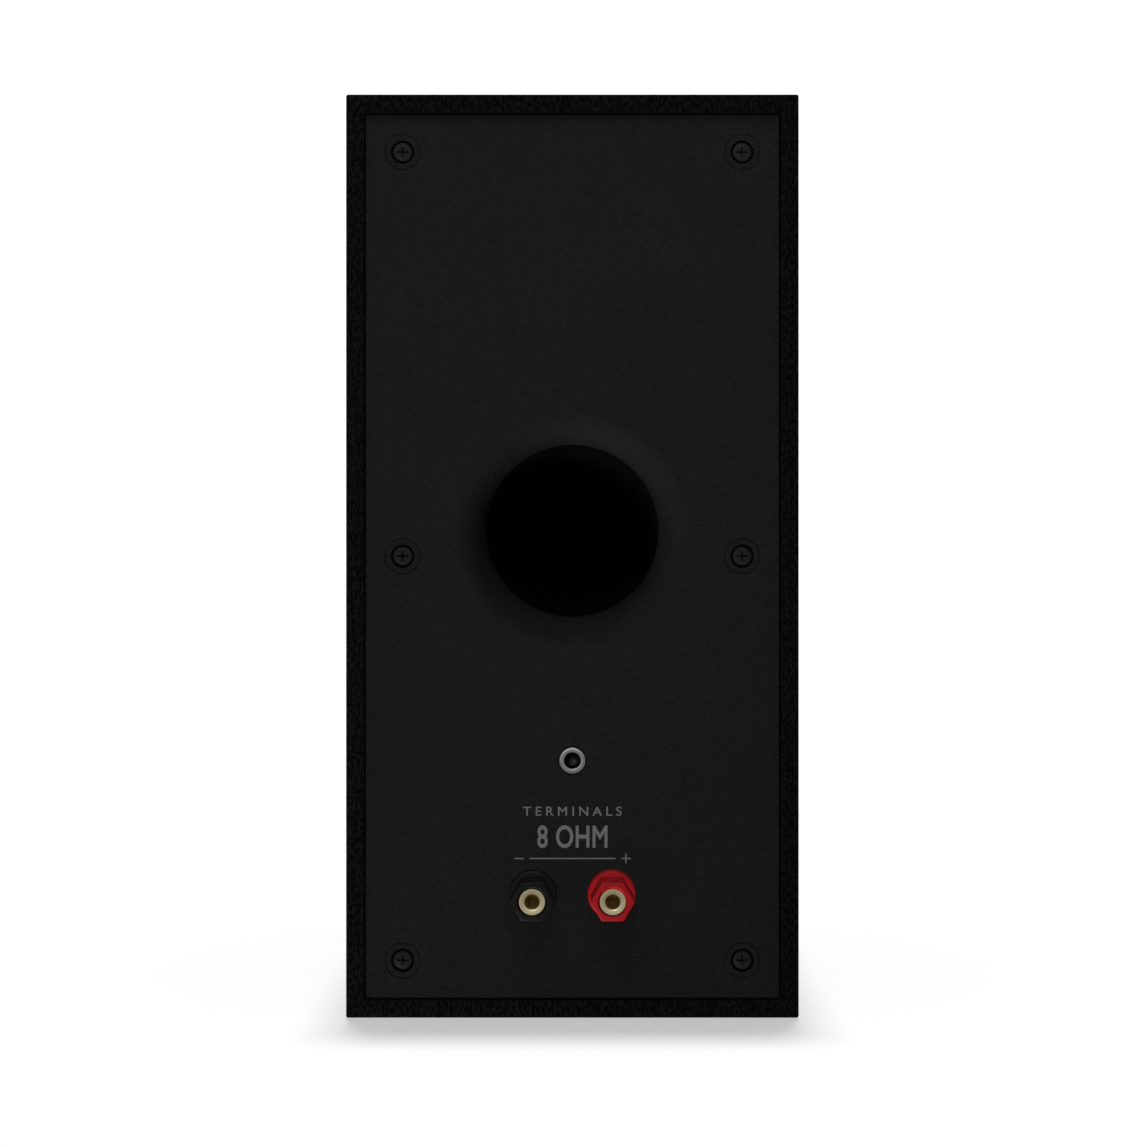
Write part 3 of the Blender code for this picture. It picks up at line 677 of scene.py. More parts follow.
def thread(radius: float, low: float, high: float, pitch: float, depth: float) -> Relief:
    """A thread on a straight stretch of a turned piece.

    Args:
        radius: The stretch's radius.
        low: Where the thread starts.
        high: Where it ends.
        pitch: How far apart its turns are.
        depth: How deep it is cut, as a negative value inside a bore.

    Returns:
        The relief that the lathe takes.
    """

    def relief(reach: float, height: float, angle: float) -> float:
        """Moves one point of the piece.

        Args:
            reach: Its radius.
            height: Its height.
            angle: Its angle.

        Returns:
            Its new radius.
        """
        if abs(reach - radius) > 1e-5 or not low < height < high:
            return reach
        turn = (height / pitch + math.copysign(angle, depth) / math.tau) % 1.0
        return reach - depth * abs(2 * turn - 1)

    return relief


def prism(
    name: str, outline: Sequence[Point], low: float, high: float, edge: float = 0.0
) -> bpy.types.Mesh:
    """Raises a flat outline along +Z.

    Args:
        name: The mesh's name.
        outline: The outline in X and Y.
        low: The height of its lower face.
        high: The height of its upper face.
        edge: The radius of its rounded edges.

    Returns:
        The closed mesh.
    """
    shape = bmesh.new()
    bottom = [shape.verts.new((x, y, low)) for x, y in outline]
    top = [shape.verts.new((x, y, high)) for x, y in outline]
    shape.faces.new(bottom)
    shape.faces.new(top)
    count = len(outline)
    for i in range(count):
        j = (i + 1) % count
        shape.faces.new((bottom[i], bottom[j], top[j], top[i]))
    if edge:
        bmesh.ops.recalc_face_normals(shape, faces=shape.faces)
        sharp = [e for e in shape.edges if e.calc_face_angle(0) > SMOOTH_UNDER]
        bmesh.ops.bevel(shape, geom=sharp, offset=edge, segments=3, profile=0.5, affect="EDGES")
    return to_mesh(name, shape)


def block(name: str, low: Sequence[float], high: Sequence[float], edge: float = 0.0) -> bpy.types.Mesh:
    """A box between two corners, with rounded edges.

    Args:
        name: The mesh's name.
        low: Its lowest corner.
        high: Its highest corner.
        edge: The radius of its edges.

    Returns:
        The closed mesh.
    """
    outline = [(low[0], low[1]), (high[0], low[1]), (high[0], high[1]), (low[0], high[1])]
    return prism(name, outline, low[2], high[2], edge)


def polygon(sides: int, radius: float, centre: Point = (0.0, 0.0)) -> list[Point]:
    """A regular outline with a corner on +X.

    Args:
        sides: How many sides it has.
        radius: How far its corners are from its centre.
        centre: Its centre.

    Returns:
        The outline.
    """
    angles = [math.tau * i / sides for i in range(sides)]
    return [(centre[0] + radius * math.cos(a), centre[1] + radius * math.sin(a)) for a in angles]


def merged(name: str, meshes: Iterable[bpy.types.Mesh]) -> bpy.types.Mesh:
    """Puts several meshes into one.

    Args:
        name: The new mesh's name.
        meshes: The meshes, which are removed.

    Returns:
        The mesh that holds them all.
    """
    shape = bmesh.new()
    for mesh in meshes:
        shape.from_mesh(mesh)
        bpy.data.meshes.remove(mesh)
    return to_mesh(name, shape)


def turned(mesh: bpy.types.Mesh, facing: Facing, to: Sequence[float] = (0, 0, 0)) -> bpy.types.Mesh:
    """Turns a mesh that is drawn along +Z to its facing, and moves it.

    Args:
        mesh: The mesh.
        facing: Which way it is turned.
        to: Where its origin goes.

    Returns:
        The same mesh.
    """
    across, up, round_z = facing.value
    turn = Matrix.Rotation(round_z, 4, "Z") @ Matrix.Rotation(up, 4, "Y")
    mesh.transform(Matrix.Translation(Vector(to)) @ turn @ Matrix.Rotation(across, 4, "X"))
    return mesh


def carved(
    mesh: bpy.types.Mesh,
    away: Sequence[bpy.types.Mesh] = (),
    added: Sequence[bpy.types.Mesh] = (),
) -> bpy.types.Mesh:
    """Adds shapes to a mesh, then takes others out of it.

    Args:
        mesh: The mesh to work on.
        away: What is cut away.
        added: What is joined on first.

    Returns:
        A new mesh with the result.
    """
    body = bpy.data.objects.new(mesh.name, mesh)
    bpy.context.scene.collection.objects.link(body)
    tools = []
    for operation, shapes in (("UNION", added), ("DIFFERENCE", away)):
        for shape in shapes:
            tool = bpy.data.objects.new(shape.name, shape)
            bpy.context.scene.collection.objects.link(tool)
            tools.append(tool)
            modifier = body.modifiers.new(shape.name, "BOOLEAN")
            modifier.operation = operation
            modifier.object = tool
    depsgraph = bpy.context.evaluated_depsgraph_get()
    result = bpy.data.meshes.new_from_object(body.evaluated_get(depsgraph))
    for used in (body, *tools):
        bpy.data.objects.remove(used)
    return result


def solid_of(curve: bpy.types.Curve) -> bpy.types.Mesh:
    """Turns a curve or a line of text into a mesh.

    Args:
        curve: The curve or the text.

    Returns:
        The mesh, with no finish yet.
    """
    maker = bpy.data.objects.new(curve.name, curve)
    bpy.context.scene.collection.objects.link(maker)
    depsgraph = bpy.context.evaluated_depsgraph_get()
    mesh = bpy.data.meshes.new_from_object(maker.evaluated_get(depsgraph))
    bpy.data.objects.remove(maker)
    mesh.materials.clear()
    return mesh


def lettering(words: str, width: float, height: float, spacing: float, weight: float) -> bpy.types.Mesh:
    """Flat printed words that fill a given width and height, centred on the origin.

    Args:
        words: What it says.
        width: How wide the line is.
        height: How high its capitals are.
        spacing: How far apart the letters are.
        weight: How much bolder they are than plain, above 0.

    Returns:
        The mesh, facing +Z.
    """
    text = bpy.data.curves.new("lettering", "FONT")
    text.body = words
    text.space_character = spacing
    text.bevel_depth = weight
    text.bevel_resolution = 0
    text.resolution_u = 6
    mesh = solid_of(text)
    xs = [v.co.x for v in mesh.vertices]
    ys = [v.co.y for v in mesh.vertices]
    middle = Vector(((min(xs) + max(xs)) / 2, (min(ys) + max(ys)) / 2, 0))
    scale = (width / (max(xs) - min(xs)), height / (max(ys) - min(ys)), INK / (2 * weight), 1)
    mesh.transform(Matrix.Diagonal(scale) @ Matrix.Translation(-middle))
    return mesh


def paint(
    mesh: bpy.types.Mesh, finish: Finish, second: Finish, where: Callable[[Vector], bool]
) -> None:
    """Gives a mesh two finishes, by the places of its faces.

    Args:
        mesh: The mesh.
        finish: Its main finish.
        second: The finish of some of its faces.
        where: Whether a face with its middle at a place has the second finish.
    """
    for each in (finish, second):
        mesh.materials.append(each.build())
    for face in mesh.polygons:
        face.material_index = int(where(face.center))


# ---------------------------------------------------------------- pieces
@dataclass
class Assembly:
    """A group of pieces that are made and dressed together."""

    body: str = "cabinet"
    made: list[str] = field(default_factory=list)

    def place(
        self,
        name: str,
        mesh: bpy.types.Mesh,
        finish: Finish,
        at: Sequence[float],
        facing: Facing,
    ) -> bpy.types.Object:
        """Puts a piece in the scene and dresses it.

        Args:
            name: The piece's name.
            mesh: Its mesh.
            finish: Its finish, unless the mesh is painted already.
            at: Where its origin goes.
            facing: Which way it is turned.

        Returns:
            The piece.
        """
        piece = bpy.data.objects.new(name, mesh)
        piece.location = at
        piece.rotation_euler = facing.value
        bpy.context.scene.collection.objects.link(piece)
        if not mesh.materials:
            mesh.materials.append(finish.build())
        mesh.shade_smooth()
        mesh.set_sharp_from_angle(angle=SMOOTH_UNDER)
        self.made.append(name)
        return piece

    def add(
        self,
        name: str,
        mesh: bpy.types.Mesh,
        finish: Finish,
        slot: str,
        at: Sequence[float] = (0, 0, 0),
        facing: Facing = Facing.UP,
        stands_for: Sequence[str] = (),
        body: str | None = None,
    ) -> bpy.types.Object:
        """Places a piece and lets it ride on one body.

        Args:
            name: The piece's name.
            mesh: Its mesh.
            finish: Its finish, unless the mesh is painted already.
            slot: The record's material slot that it belongs to. Not used.
            at: Where its origin goes.
            facing: Which way it is turned.
            stands_for: The nodes that it replaces.
            body: The body that it rides on, if it isn't the assembly's own.

        Returns:
            The piece.
        """
        piece = self.place(name, mesh, finish, at, facing)
        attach(piece, body or self.body)
        if stands_for:
            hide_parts(*stands_for)
        return piece

    def dress(self, node: str, finish: Finish) -> None:
        """Gives a node of the frame that keeps its shape its finish.

        Args:
            node: The node.
            finish: The finish.
        """
        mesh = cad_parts[node].data
        mesh.materials.clear()
        mesh.materials.append(finish.build())
        mesh.shade_smooth()
        mesh.set_sharp_from_angle(angle=SMOOTH_UNDER)
        self.made.append(node)

    def report(self) -> None:
        """Logs what was made."""
        log.info("%s: %s", type(self).__name__, ", ".join(self.made))


def low_of(node: str) -> Vector:
    """The lowest corner of a node."""
    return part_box(node)[0]


def high_of(node: str) -> Vector:
    """The highest corner of a node."""
    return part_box(node)[1]


def middle_of(node: str) -> Vector:
    """The middle of a node's box."""
    return (low_of(node) + high_of(node)) / 2


def magnet_places() -> list[Point]:
    """Where the magnets are, near the corners of the baffle.

    Returns:
        The X and Z of each.
    """
    low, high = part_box("front_baffle")
    side, end = 0.008, 0.02
    return [(x, z) for x in (low.x + side, high.x - side) for z in (low.z + end, high.z - end)]


def keep_flat(piece: bpy.types.Object) -> None:
    """Keeps the shading of large flat faces even where small curved ones meet them."""
    piece.modifiers.new("even_shading", "WEIGHTED_NORMAL").keep_sharp = True


@dataclass(frozen=True)
class Opening:
    """A driver's opening in the baffle: its hole, the recess of its flange and its pilot holes."""

    driver: str
    flange: str
    radius: float
    recess: float
    pilot: float


@dataclass
class Cabinet(Assembly):
    """The four wrapped boards, the baffle and the frame that the rear cover screws into."""

    board: float = 0.012
    corner: float = 0.0007
    edge: float = 0.0004
    baffle_edge: float = 0.002
    cover_gap: float = 0.00045
    magnet: float = 0.0040
    magnet_height: float = 0.0020
    openings: tuple[Opening, ...] = (
        Opening("woofer", "woofer_basket", 0.0475, 0.0042, 0.0022),
        Opening("tweeter", "tweeter_faceplate", 0.036, 0.003, 0.0019),
    )

    def build(self) -> None:
        """Makes the boards and the baffle, and dresses the hidden frame."""
        for node in ("top_panel", "bottom_panel", "side_panel_left", "side_panel_right"):
            finish = vinyl(Grain.UPWARDS if "side" in node else Grain.REARWARDS)
            mesh = self.board_mesh(node)
            paint(mesh, finish, RAW_BOARD, self.is_bare)
            self.add(f"wrapped_{node}", mesh, finish, "vinyl_board", stands_for=[node])
        self.dress("rear_frame", RAW_BOARD)
        self.dress("rear_cover_gasket", FOAM)
        self.build_baffle()

    def is_bare(self, place: Vector) -> bool:
        """Whether a place is on the bare inner face of the top or the bottom board."""
        bottom = self.board * 0.98
        return abs(place.x) < HALF_WIDTH - 2 * self.board and bottom < place.z < 2 * HALF_HEIGHT - bottom

    def board_mesh(self, node: str) -> bpy.types.Mesh:
        """One board: a mitred length whose outer corners are rounded and whose rear is rebated.

        Args:
            node: The board's node, which gives its place.

        Returns:
            The board's mesh, in place.
        """
        low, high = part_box(node)
        upright = "side" in node
        rebate = high_of("rear_frame").y
        set_in = abs(low_of("rear_cover").x - low_of("front_baffle").x)
        rim = min(set_in, self.board) - self.cover_gap
        outer_half, length_half = (HALF_WIDTH, HALF_HEIGHT) if upright else (HALF_HEIGHT, HALF_WIDTH)
        positive = high.x > 0 if upright else high.z > 1.5 * HALF_HEIGHT
        sign = 1 if positive else -1
        r = self.corner
        right = arc((length_half - r, outer_half - r), (r, r), 45, 90, 4)
        outer = right + [(-u, v) for u, v in reversed(right)]

        def ring(thick: float, y: float) -> list[tuple[float, float, float]]:
            """The board's outline at one depth.

            Args:
                thick: How thick the board is there.
                y: The depth.

            Returns:
                The outline's points.
            """
            u_inner, v_inner = length_half - thick, outer_half - thick
            flat = [(u, v * sign) for u, v in [*outer, (-u_inner, v_inner), (u_inner, v_inner)]]
            if upright:
                return [(v, y, u + HALF_HEIGHT) for u, v in flat]
            return [(u, y, v + HALF_HEIGHT) for u, v in flat]

        shape = bmesh.new()
        rings = [(self.board, low.y), (self.board, rebate), (rim, rebate), (rim, high.y)]
        rows = [[shape.verts.new(p) for p in ring(*spec)] for spec in rings]
        count = len(outer) + 2
        for row, following in zip(rows, rows[1:]):
            for i in range(count):
                j = (i + 1) % count
                shape.faces.new((row[i], row[j], following[j], following[i]))
        shape.faces.new(rows[0])
        shape.faces.new(rows[-1])
        bmesh.ops.remove_doubles(shape, verts=shape.verts, dist=1e-6)
        bmesh.ops.recalc_face_normals(shape, faces=shape.faces)
        last = [v for v in shape.verts if v.co.y > high.y - 1e-6]
        around = [e for e in shape.edges if all(v in last for v in e.verts)]
        within = {rows[-1][-1], rows[-1][-2]}
        outer_edges = [e for e in around if not self.crosses(e) and not within.issuperset(e.verts)]
        bmesh.ops.bevel(
            shape, geom=outer_edges, offset=self.edge, segments=3, profile=0.5, affect="EDGES"
        )
        return to_mesh(node, shape)

    @staticmethod
    def crosses(edge: bmesh.types.BMEdge) -> bool:
        """Whether an edge of the rear face runs along a mitre.

        Args:
            edge: The edge.

        Returns:
            Whether it slants and is longer than a rounding.
        """
        a, b = (v.co for v in edge.verts)
        step = b - a
        slanting = abs(abs(step.x) - abs(step.z)) < 1e-5
        return slanting and step.length > 0.002

    def build_baffle(self) -> None:
        """The painted baffle, with both drivers' recesses and the grille's magnets."""
        low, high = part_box("front_baffle")
        face = low.y
        hair = 0.0001
        cutters = [cutter for opening in self.openings for cutter in self.opening_cutters(opening, face)]
        for x, z in magnet_places():
            outline = polygon(32, self.magnet + 2 * hair)
            pocket = prism("pocket", outline, -self.magnet_height - hair, ABOVE)
            cutters.append(turned(pocket, Facing.FRONT, (x, face, z)))
        mesh = carved(block("front_baffle", low, high, self.baffle_edge), cutters)
        # The baffle's rear face takes the near-black painted shade in place of bare board.
        paint(mesh, BAFFLE_PAINT, BAFFLE_BACK_PAINTED_SHADE, lambda place: place.y > high.y - hair)
        self.add("painted_baffle", mesh, BAFFLE_PAINT, "painted_board", stands_for=["front_baffle"])
        rim, foot = (self.magnet, 0.0), (self.magnet, -self.magnet_height)
        profile = soften([(0, 0.0), rim, foot, (0, -self.magnet_height)], 0.0003)
        for i, (x, z) in enumerate(magnet_places(), 1):
            disc = lathe("baffle_magnet", profile, 32)
            self.add(f"baffle_magnet_{i}", disc, NICKEL, "nickel", (x, face - hair, z), Facing.FRONT)

    def opening_cutters(self, opening: Opening, face: float) -> list[bpy.types.Mesh]:
        """What is cut out of the baffle for one driver.

        Args:
            opening: The driver's opening.
            face: The depth of the baffle's face.

        Returns:
            The cutters, in place.
        """
        low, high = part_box(opening.flange)
        seat = (high.x - low.x) / 2 + 0.0005
        end, pilot_end = -0.03, -0.014
        profile = [(0, ABOVE), (seat, ABOVE), (seat, -opening.recess), (opening.radius, -opening.recess)]
        profile += [(opening.radius, end), (0, end)]
        hole = lathe(f"{opening.driver}_hole", profile)
        cutters = [turned(hole, Facing.FRONT, ((low.x + high.x) / 2, face, (low.z + high.z) / 2))]
        for i in range(1, 5):
            screw = middle_of(f"{opening.driver}_screw_{i}")
            pilot = prism("pilot", polygon(20, opening.pilot), pilot_end, ABOVE)
            cutters.append(turned(pilot, Facing.FRONT, (screw.x, face, screw.z)))
        return cutters


@dataclass
class RearCover(Assembly):
    """The moulded cover with its flared port, its screws, the bracket insert and the print."""

    flare: float = 0.040
    throat: float = 0.0292
    flare_depth: float = 0.011
    plate: float = 0.003
    insert_hole: float = 0.0047
    post_hole: float = 0.0055
    insert_bore: float = 0.00255
    thread_pitch: float = 0.00127
    face: float = field(init=False)
    port: Vector = field(init=False)
    insert: Vector = field(init=False)

    def build(self) -> None:
        """Makes the cover and all that sits in it."""
        self.face = high_of("rear_cover").y
        self.port = Vector((0, self.face, middle_of("port_tube").z))
        self.insert = Vector((0, self.face, middle_of("mounting_insert").z))
        self.build_cover()
        self.build_port_tube()
        self.build_insert()
        self.build_screws()
        self.build_print()

    def build_cover(self) -> None:
        """The plate, its horn and boss, and every hole and step in it."""
        low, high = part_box("rear_cover")
        plate = block("cover", (low.x, self.face - self.plate, low.z), high, 0.00012)
        inside = -self.plate / 2
        horn = [(0, inside), (0.0435, inside), (0.0345, -0.0085), (0.0345, -0.0185), (0, -0.0185)]
        boss = [(0, inside), (0.008, inside), (0.008, -0.013), (0, -0.013)]
        added = [
            turned(lathe("horn", horn), Facing.REAR, self.port),
            turned(lathe("boss", boss, 48), Facing.REAR, self.insert),
        ]
        away = [self.funnel(), self.round_hole(self.insert, self.insert_hole)]
        for polarity in Polarity:
            away.append(self.round_hole(middle_of(f"{polarity.value}_post_collar"), self.post_hole))
        for i in range(1, 7):
            away += self.screw_seat(middle_of(f"rear_cover_screw_{i}"))
        mesh = carved(plate, away, added)
        piece = self.add(
            "moulded_rear_cover", mesh, COVER_SKIN, "moulded_black", stands_for=["rear_cover"]
        )
        keep_flat(piece)

    def funnel(self) -> bpy.types.Mesh:
        """What the port takes out of the cover: the flare, and behind it the seat of the tube.

        Returns:
            The cutter, in place.
        """
        lift, over, end = 0.00004, 0.002, -0.022
        seat = self.throat + 0.0018
        radii = (self.throat - self.flare, self.flare_depth + lift)
        curve = arc((self.flare, -self.flare_depth), radii, 90, 0, 26)
        profile = [(0, over), (self.flare, over), *curve]
        profile += [(seat, -self.flare_depth), (seat, end), (0, end)]
        return turned(lathe("funnel", profile, 128), Facing.REAR, self.port)

    def round_hole(self, middle: Vector, radius: float) -> bpy.types.Mesh:
        """A straight hole right through the cover, in line with a place."""
        hole = prism("hole", polygon(48, radius), BEHIND, ABOVE)
        return turned(hole, Facing.REAR, (middle.x, self.face, middle.z))

    def screw_seat(self, middle: Vector) -> list[bpy.types.Mesh]:
        """A screw's counterbore and its hole, and the fine line round them.

        Args:
            middle: The middle of the screw.

        Returns:
            The two cutters, in place.
        """
        at = (middle.x, self.face, middle.z)
        head, shank, floor = 0.00395, 0.0021, -0.0019
        well = [(0, ABOVE), (head, ABOVE), (head, floor), (shank, floor), (shank, BEHIND), (0, BEHIND)]
        line, half, over, side, bottom = 0.00585, 0.00015, 0.0004, -0.00008, -0.0003
        groove = [(line - half, over), (line + half, over), (line + half, side)]
        groove += [(line, bottom), (line - half, side)]
        return [
            turned(lathe("well", soften(well, 0.0001), 40), Facing.REAR, at),
            turned(lathe("groove", groove, 64, ring=True), Facing.REAR, at),
        ]

    def build_port_tube(self) -> None:
        """The tube behind the flare: it narrows to its waist and opens again inside."""
        waist, wall, taper, rows = 0.021, 0.0018, 0.036, 24
        lip, lip_reach, lip_height = 0.006, 0.010, 0.0087
        start = -self.flare_depth - CLEARANCE
        end = low_of("port_tube").y - self.face
        narrowing = []
        for i in range(rows + 1):
            share = (1 + math.cos(math.pi * i / rows)) / 2
            narrowing.append((waist + (self.throat - waist) * share, start - taper * i / rows))
        mouth = arc((waist + lip, end + lip_height), (-lip, -lip_reach), 0, 60, 10)
        inside = narrowing + mouth
        outside = [(radius + wall, height) for radius, height in inside[1:]]
        spigot, spigot_length = self.throat + 0.0014, 0.006
        socket = [(spigot, start), (spigot, start - spigot_length)]
        profile = soften(socket + outside + inside[::-1], 0.0005, closed=True)
        mesh = lathe("port_tube", profile, 112, ring=True)
        node = "port_tube"
        # The tube takes near-black plastic with painted shade, so the inside of the port stays black.
        self.add(f"flared_{node}", mesh, PORT_BLACK_PAINTED_SHADE, "moulded_black", self.port, Facing.REAR, [node])

    def build_insert(self) -> None:
        """The bracket insert, with its thread."""
        face, floor, end, outer = 0.0003, -0.0100, -0.0120, 0.0044
        rim, lead_in, rows, depth = face - 0.0004, 0.00025, 66, 0.00055
        bore = self.insert_bore
        wall = [(bore, floor + (rim - floor) * i / rows) for i in range(rows + 1)]
        lip = [wall[-1], (bore + lead_in, face), (outer, face), (outer, end), (0, end)]
        profile = [(0, floor - 0.0008), *wall, *soften(lip, 0.00015)[1:]]
        relief = thread(bore, floor, rim - 0.0010, self.thread_pitch, -depth)
        mesh = lathe("insert", profile, 56, relief=relief)
        # The bore and its thread take the dark metal: painted shade inside the bore.
        paint(
            mesh,
            NICKEL,
            THREAD_PAINTED_SHADE,
            lambda place: place.xy.length < bore * 1.22 and end < place.z < rim,
        )
        self.add(
            "threaded_insert", mesh, NICKEL, "nickel", self.insert, Facing.REAR, ["mounting_insert"]
        )

    def build_screws(self) -> None:
        """The six cover screws: a low dome with a cross recess, and a thread that ends in a point."""
        head, under, shank, neck, tip = 0.0032, -0.0016, 0.0017, -0.0020, -0.0150
        pitch, depth, rows = 0.0008, 0.0004, 48
        point, bottom = 0.0006, tip + 0.003
        crown = arc((0, -0.0008), (head, 0.0005), 90, 12, 12)
        stem = [(shank, neck + (bottom - neck) * i / rows) for i in range(rows + 1)]
        profile = [*crown, (head, under + 0.00035), (head, under), (shank, under), *stem]
        profile += [(point, tip + point), (0, tip)]
        relief = thread(shank, tip, neck - 0.0001, pitch, depth)
        wide, narrow, deep, over, half = 0.0027, 0.0010, 0.0016, -0.0006, 0.0003
        arms = []
        for angle in (0, math.pi / 2):
            arm = prism("arm", [(-wide, over), (wide, over), (narrow, deep), (-narrow, deep)], -half, half)
            arm.transform(Matrix.Rotation(angle, 4, "Z") @ Matrix.Rotation(-math.pi / 2, 4, "X"))
            arms.append(arm)
        core = lathe("core", [(0, 0.0006), (0.00085, 0.0004), (0.0002, -0.0017), (0, -0.0018)], 24)
        mesh = carved(lathe("cover_screw", profile, 40, relief=relief), [*arms, core])
        for i in range(1, 7):
            node = f"rear_cover_screw_{i}"
            at = (middle_of(node).x, self.face, middle_of(node).z)
            self.add(f"cross_{node}", mesh, BLACK_STEEL, "black_steel", at, Facing.REAR, [node])

    def build_print(self) -> None:
        """The printed marks over the binding posts: plain words, a line, a minus and a plus."""
        height = self.face + 0.00001

        def ink(name: str, mesh: bpy.types.Mesh, x: float, z: float) -> None:
            """Prints one mark, read from the rear.

            Args:
                name: The mark's name.
                mesh: The mark, drawn flat.
                x: Where its middle is, across.
                z: Where its middle is, upwards.
            """
            upright = Matrix.Rotation(math.pi, 4, "Z") @ Matrix.Rotation(math.pi / 2, 4, "X")
            mesh.transform(Matrix.Translation((x, height, z)) @ upright)
            self.add(name, mesh, PRINT_INK, "moulded_black")

        words_at, rating_at, line_at, beside = 0.0687, 0.0602, 0.0529, 0.0179
        half_stroke, half_mark, half_line = 0.00021, 0.0016, 0.0144
        words = lettering("TERMINALS", width=0.0330, height=0.0031, spacing=1.5, weight=0.008)
        ink("print_terminals", words, 0, words_at)
        rating = lettering("8 OHM", width=0.0235, height=0.0076, spacing=1.05, weight=0.018)
        ink("print_ohms", rating, 0, rating_at)
        bar = block("bar", (-half_line, -half_stroke, 0), (half_line, half_stroke, INK))
        ink("print_line", bar, 0, line_at)
        minus = block("minus", (-half_mark, -half_stroke, 0), (half_mark, half_stroke, INK))
        ink("print_minus", minus, beside, line_at)
        quarter = [(half_stroke, half_stroke), (half_stroke, half_mark), (-half_stroke, half_mark)]
        outline = [
            (x * c - y * s, x * s + y * c)
            for c, s in ((1, 0), (0, 1), (-1, 0), (0, -1))
            for x, y in quarter
        ]
        ink("print_plus", prism("plus", outline, 0, INK), -beside, line_at)


class Polarity(Enum):
    """The two binding posts, by the colour that their nodes are named after."""

    RED = "red"
    BLACK = "black"

    @property
    def finish(self) -> Finish:
        """The finish of its plastic."""
        return RED_CAP if self is Polarity.RED else BLACK_CAP


@dataclass
class BindingPost(Assembly):
    """A binding post: collar, stud, nut and solder tab that stay, and a washer and cap that turn."""

    polarity: Polarity = Polarity.RED
    reach: float = 0.020
    stud: float = 0.00423
    socket: float = 0.00205
    mouth: float = 0.0012
    bore: float = 0.0046
    thread_pitch: float = 0.001
    collar: float = 0.00805
    collar_height: float = 0.004
    washer: float = 0.0058
    across_flats: float = 0.0126
    colour: str = field(init=False)
    at: Triple = field(init=False)

    def build(self) -> None:
        """Makes the post round its node's axis."""
        self.colour = self.polarity.value
        middle = middle_of(f"{self.colour}_post_collar")
        self.at = (middle.x, high_of("rear_cover").y, middle.z)
        self.build_collar()
        self.build_stud()
        self.build_nut()
        self.build_washer()
        self.build_cap()

    def piece(self, part: str, mesh: bpy.types.Mesh, finish: Finish, slot: str, body: str) -> None:
        """Adds one piece of the post, which stands for its node."""
        node = f"{self.colour}_post_{part}"
        self.add(f"turned_{node}", mesh, finish, slot, self.at, Facing.REAR, [node], body)

    def build_collar(self) -> None:
        """The insulating collar, with a rounded shoulder and a neck in the cover's hole."""
        radius, top, neck, foot, round_off = self.collar, self.collar_height, 0.0052, -0.0027, 0.0010
        shoulder = arc((radius - round_off, top - round_off), (round_off, round_off), 90, 0, 6)
        profile = [(self.bore, top), (radius - 0.0018, top), *shoulder]
        profile += [(radius, CLEARANCE), (neck, CLEARANCE), (neck, foot), (self.bore, foot)]
        mesh = lathe("collar", soften(profile, 0.0002, closed=True), 80, ring=True)
        self.piece("collar", mesh, self.polarity.finish, f"{self.colour}_plastic", "cabinet")

    def build_stud(self) -> None:
        """The hollow stud with its thread, its socket and the cross hole for bare wire."""
        low, high, rows, depth = 0.0052, 0.0158, 60, 0.0003
        rim = self.reach - self.mouth
        stem = [(self.stud, high + (low - high) * i / rows) for i in range(rows + 1)]
        inside = [(0, 0.0010), (self.socket, 0.0030), (self.socket, rim)]
        inside += [(self.socket + 0.00045, self.reach), (self.stud, self.reach)]
        shoulder, tail, end = -0.003, 0.0030, -0.012
        foot = [(self.stud, shoulder), (tail, shoulder), (tail, end), (0, end)]
        profile = [*soften(inside, 0.00018), (self.stud, high + 0.0003), *stem, *foot]
        relief = thread(self.stud, low, high, self.thread_pitch, depth)
        wire_hole, wire_height = 0.0013, 0.0064
        hole = prism("wire_hole", polygon(24, wire_hole), -ABOVE, ABOVE)
        turned(hole, Facing.ACROSS, (0, 0, wire_height))
        mesh = carved(lathe("stud", profile, 64, relief=relief), [hole])
        paint(
            mesh,
            GOLD,
            SOCKET_BRASS,
            lambda place: place.xy.length < self.socket * 1.05 and place.z < rim,
        )
        self.piece("stud", mesh, GOLD, "gold_plated", "cabinet")

    def build_nut(self) -> None:
        """The nut behind the cover, and the tab that the lead is soldered to."""
        low, high = -0.0063, -0.0033
        nut = prism("nut", polygon(6, 0.0058), low, high, 0.0003)
        hole = prism("nut_bore", polygon(48, 0.0034), BEHIND, ABOVE)
        self.piece("nut", carved(nut, [hole]), GOLD, "gold_plated", "cabinet")
        top, bottom, inner, outer, half, tip = low - 0.0001, low - 0.0009, 0.0031, 0.0052, 0.0018, 0.0110
        ring = soften([(inner, top), (outer, top), (outer, bottom), (inner, bottom)], 0.0001, closed=True)
        lug = lathe("lug", ring, 48, ring=True)
        tongue = block("tongue", (-half, 0.0040, bottom), (half, tip, top), 0.0002)
        tab = merged("tab", [lug, tongue])
        self.add(f"{self.colour}_solder_tab", tab, GOLD, "gold_plated", self.at, Facing.REAR)

    def build_washer(self) -> None:
        """The washer that clamps bare wire."""
        low, high = self.collar_height + CLEARANCE, 0.0051
        ring = [(self.bore, high), (self.washer, high), (self.washer, low), (self.bore, low)]
        mesh = lathe("washer", soften(ring, 0.00015, closed=True), 72, ring=True)
        self.piece("washer", mesh, GOLD, "gold_plated", f"{self.colour}_clamp")

    def build_cap(self) -> None:
        """The hexagonal cap, with a rounded end and a chamfered bore."""
        low, high, chamfer = 0.0054, self.reach - 0.0001, 0.0003
        body = prism("cap", polygon(6, self.across_flats / math.sqrt(3)), low, high, 0.00035)
        wide = self.bore + 0.0004
        bore = [(0, 0.03), (wide, 0.03), (wide, high), (self.bore, high - chamfer), (self.bore, 0.0)]
        mesh = carved(body, [lathe("cap_bore", soften([*bore, (0, 0.0)], 0.0001), 80)])
        self.piece("cap", mesh, self.polarity.finish, f"{self.colour}_plastic", f"{self.colour}_cap")


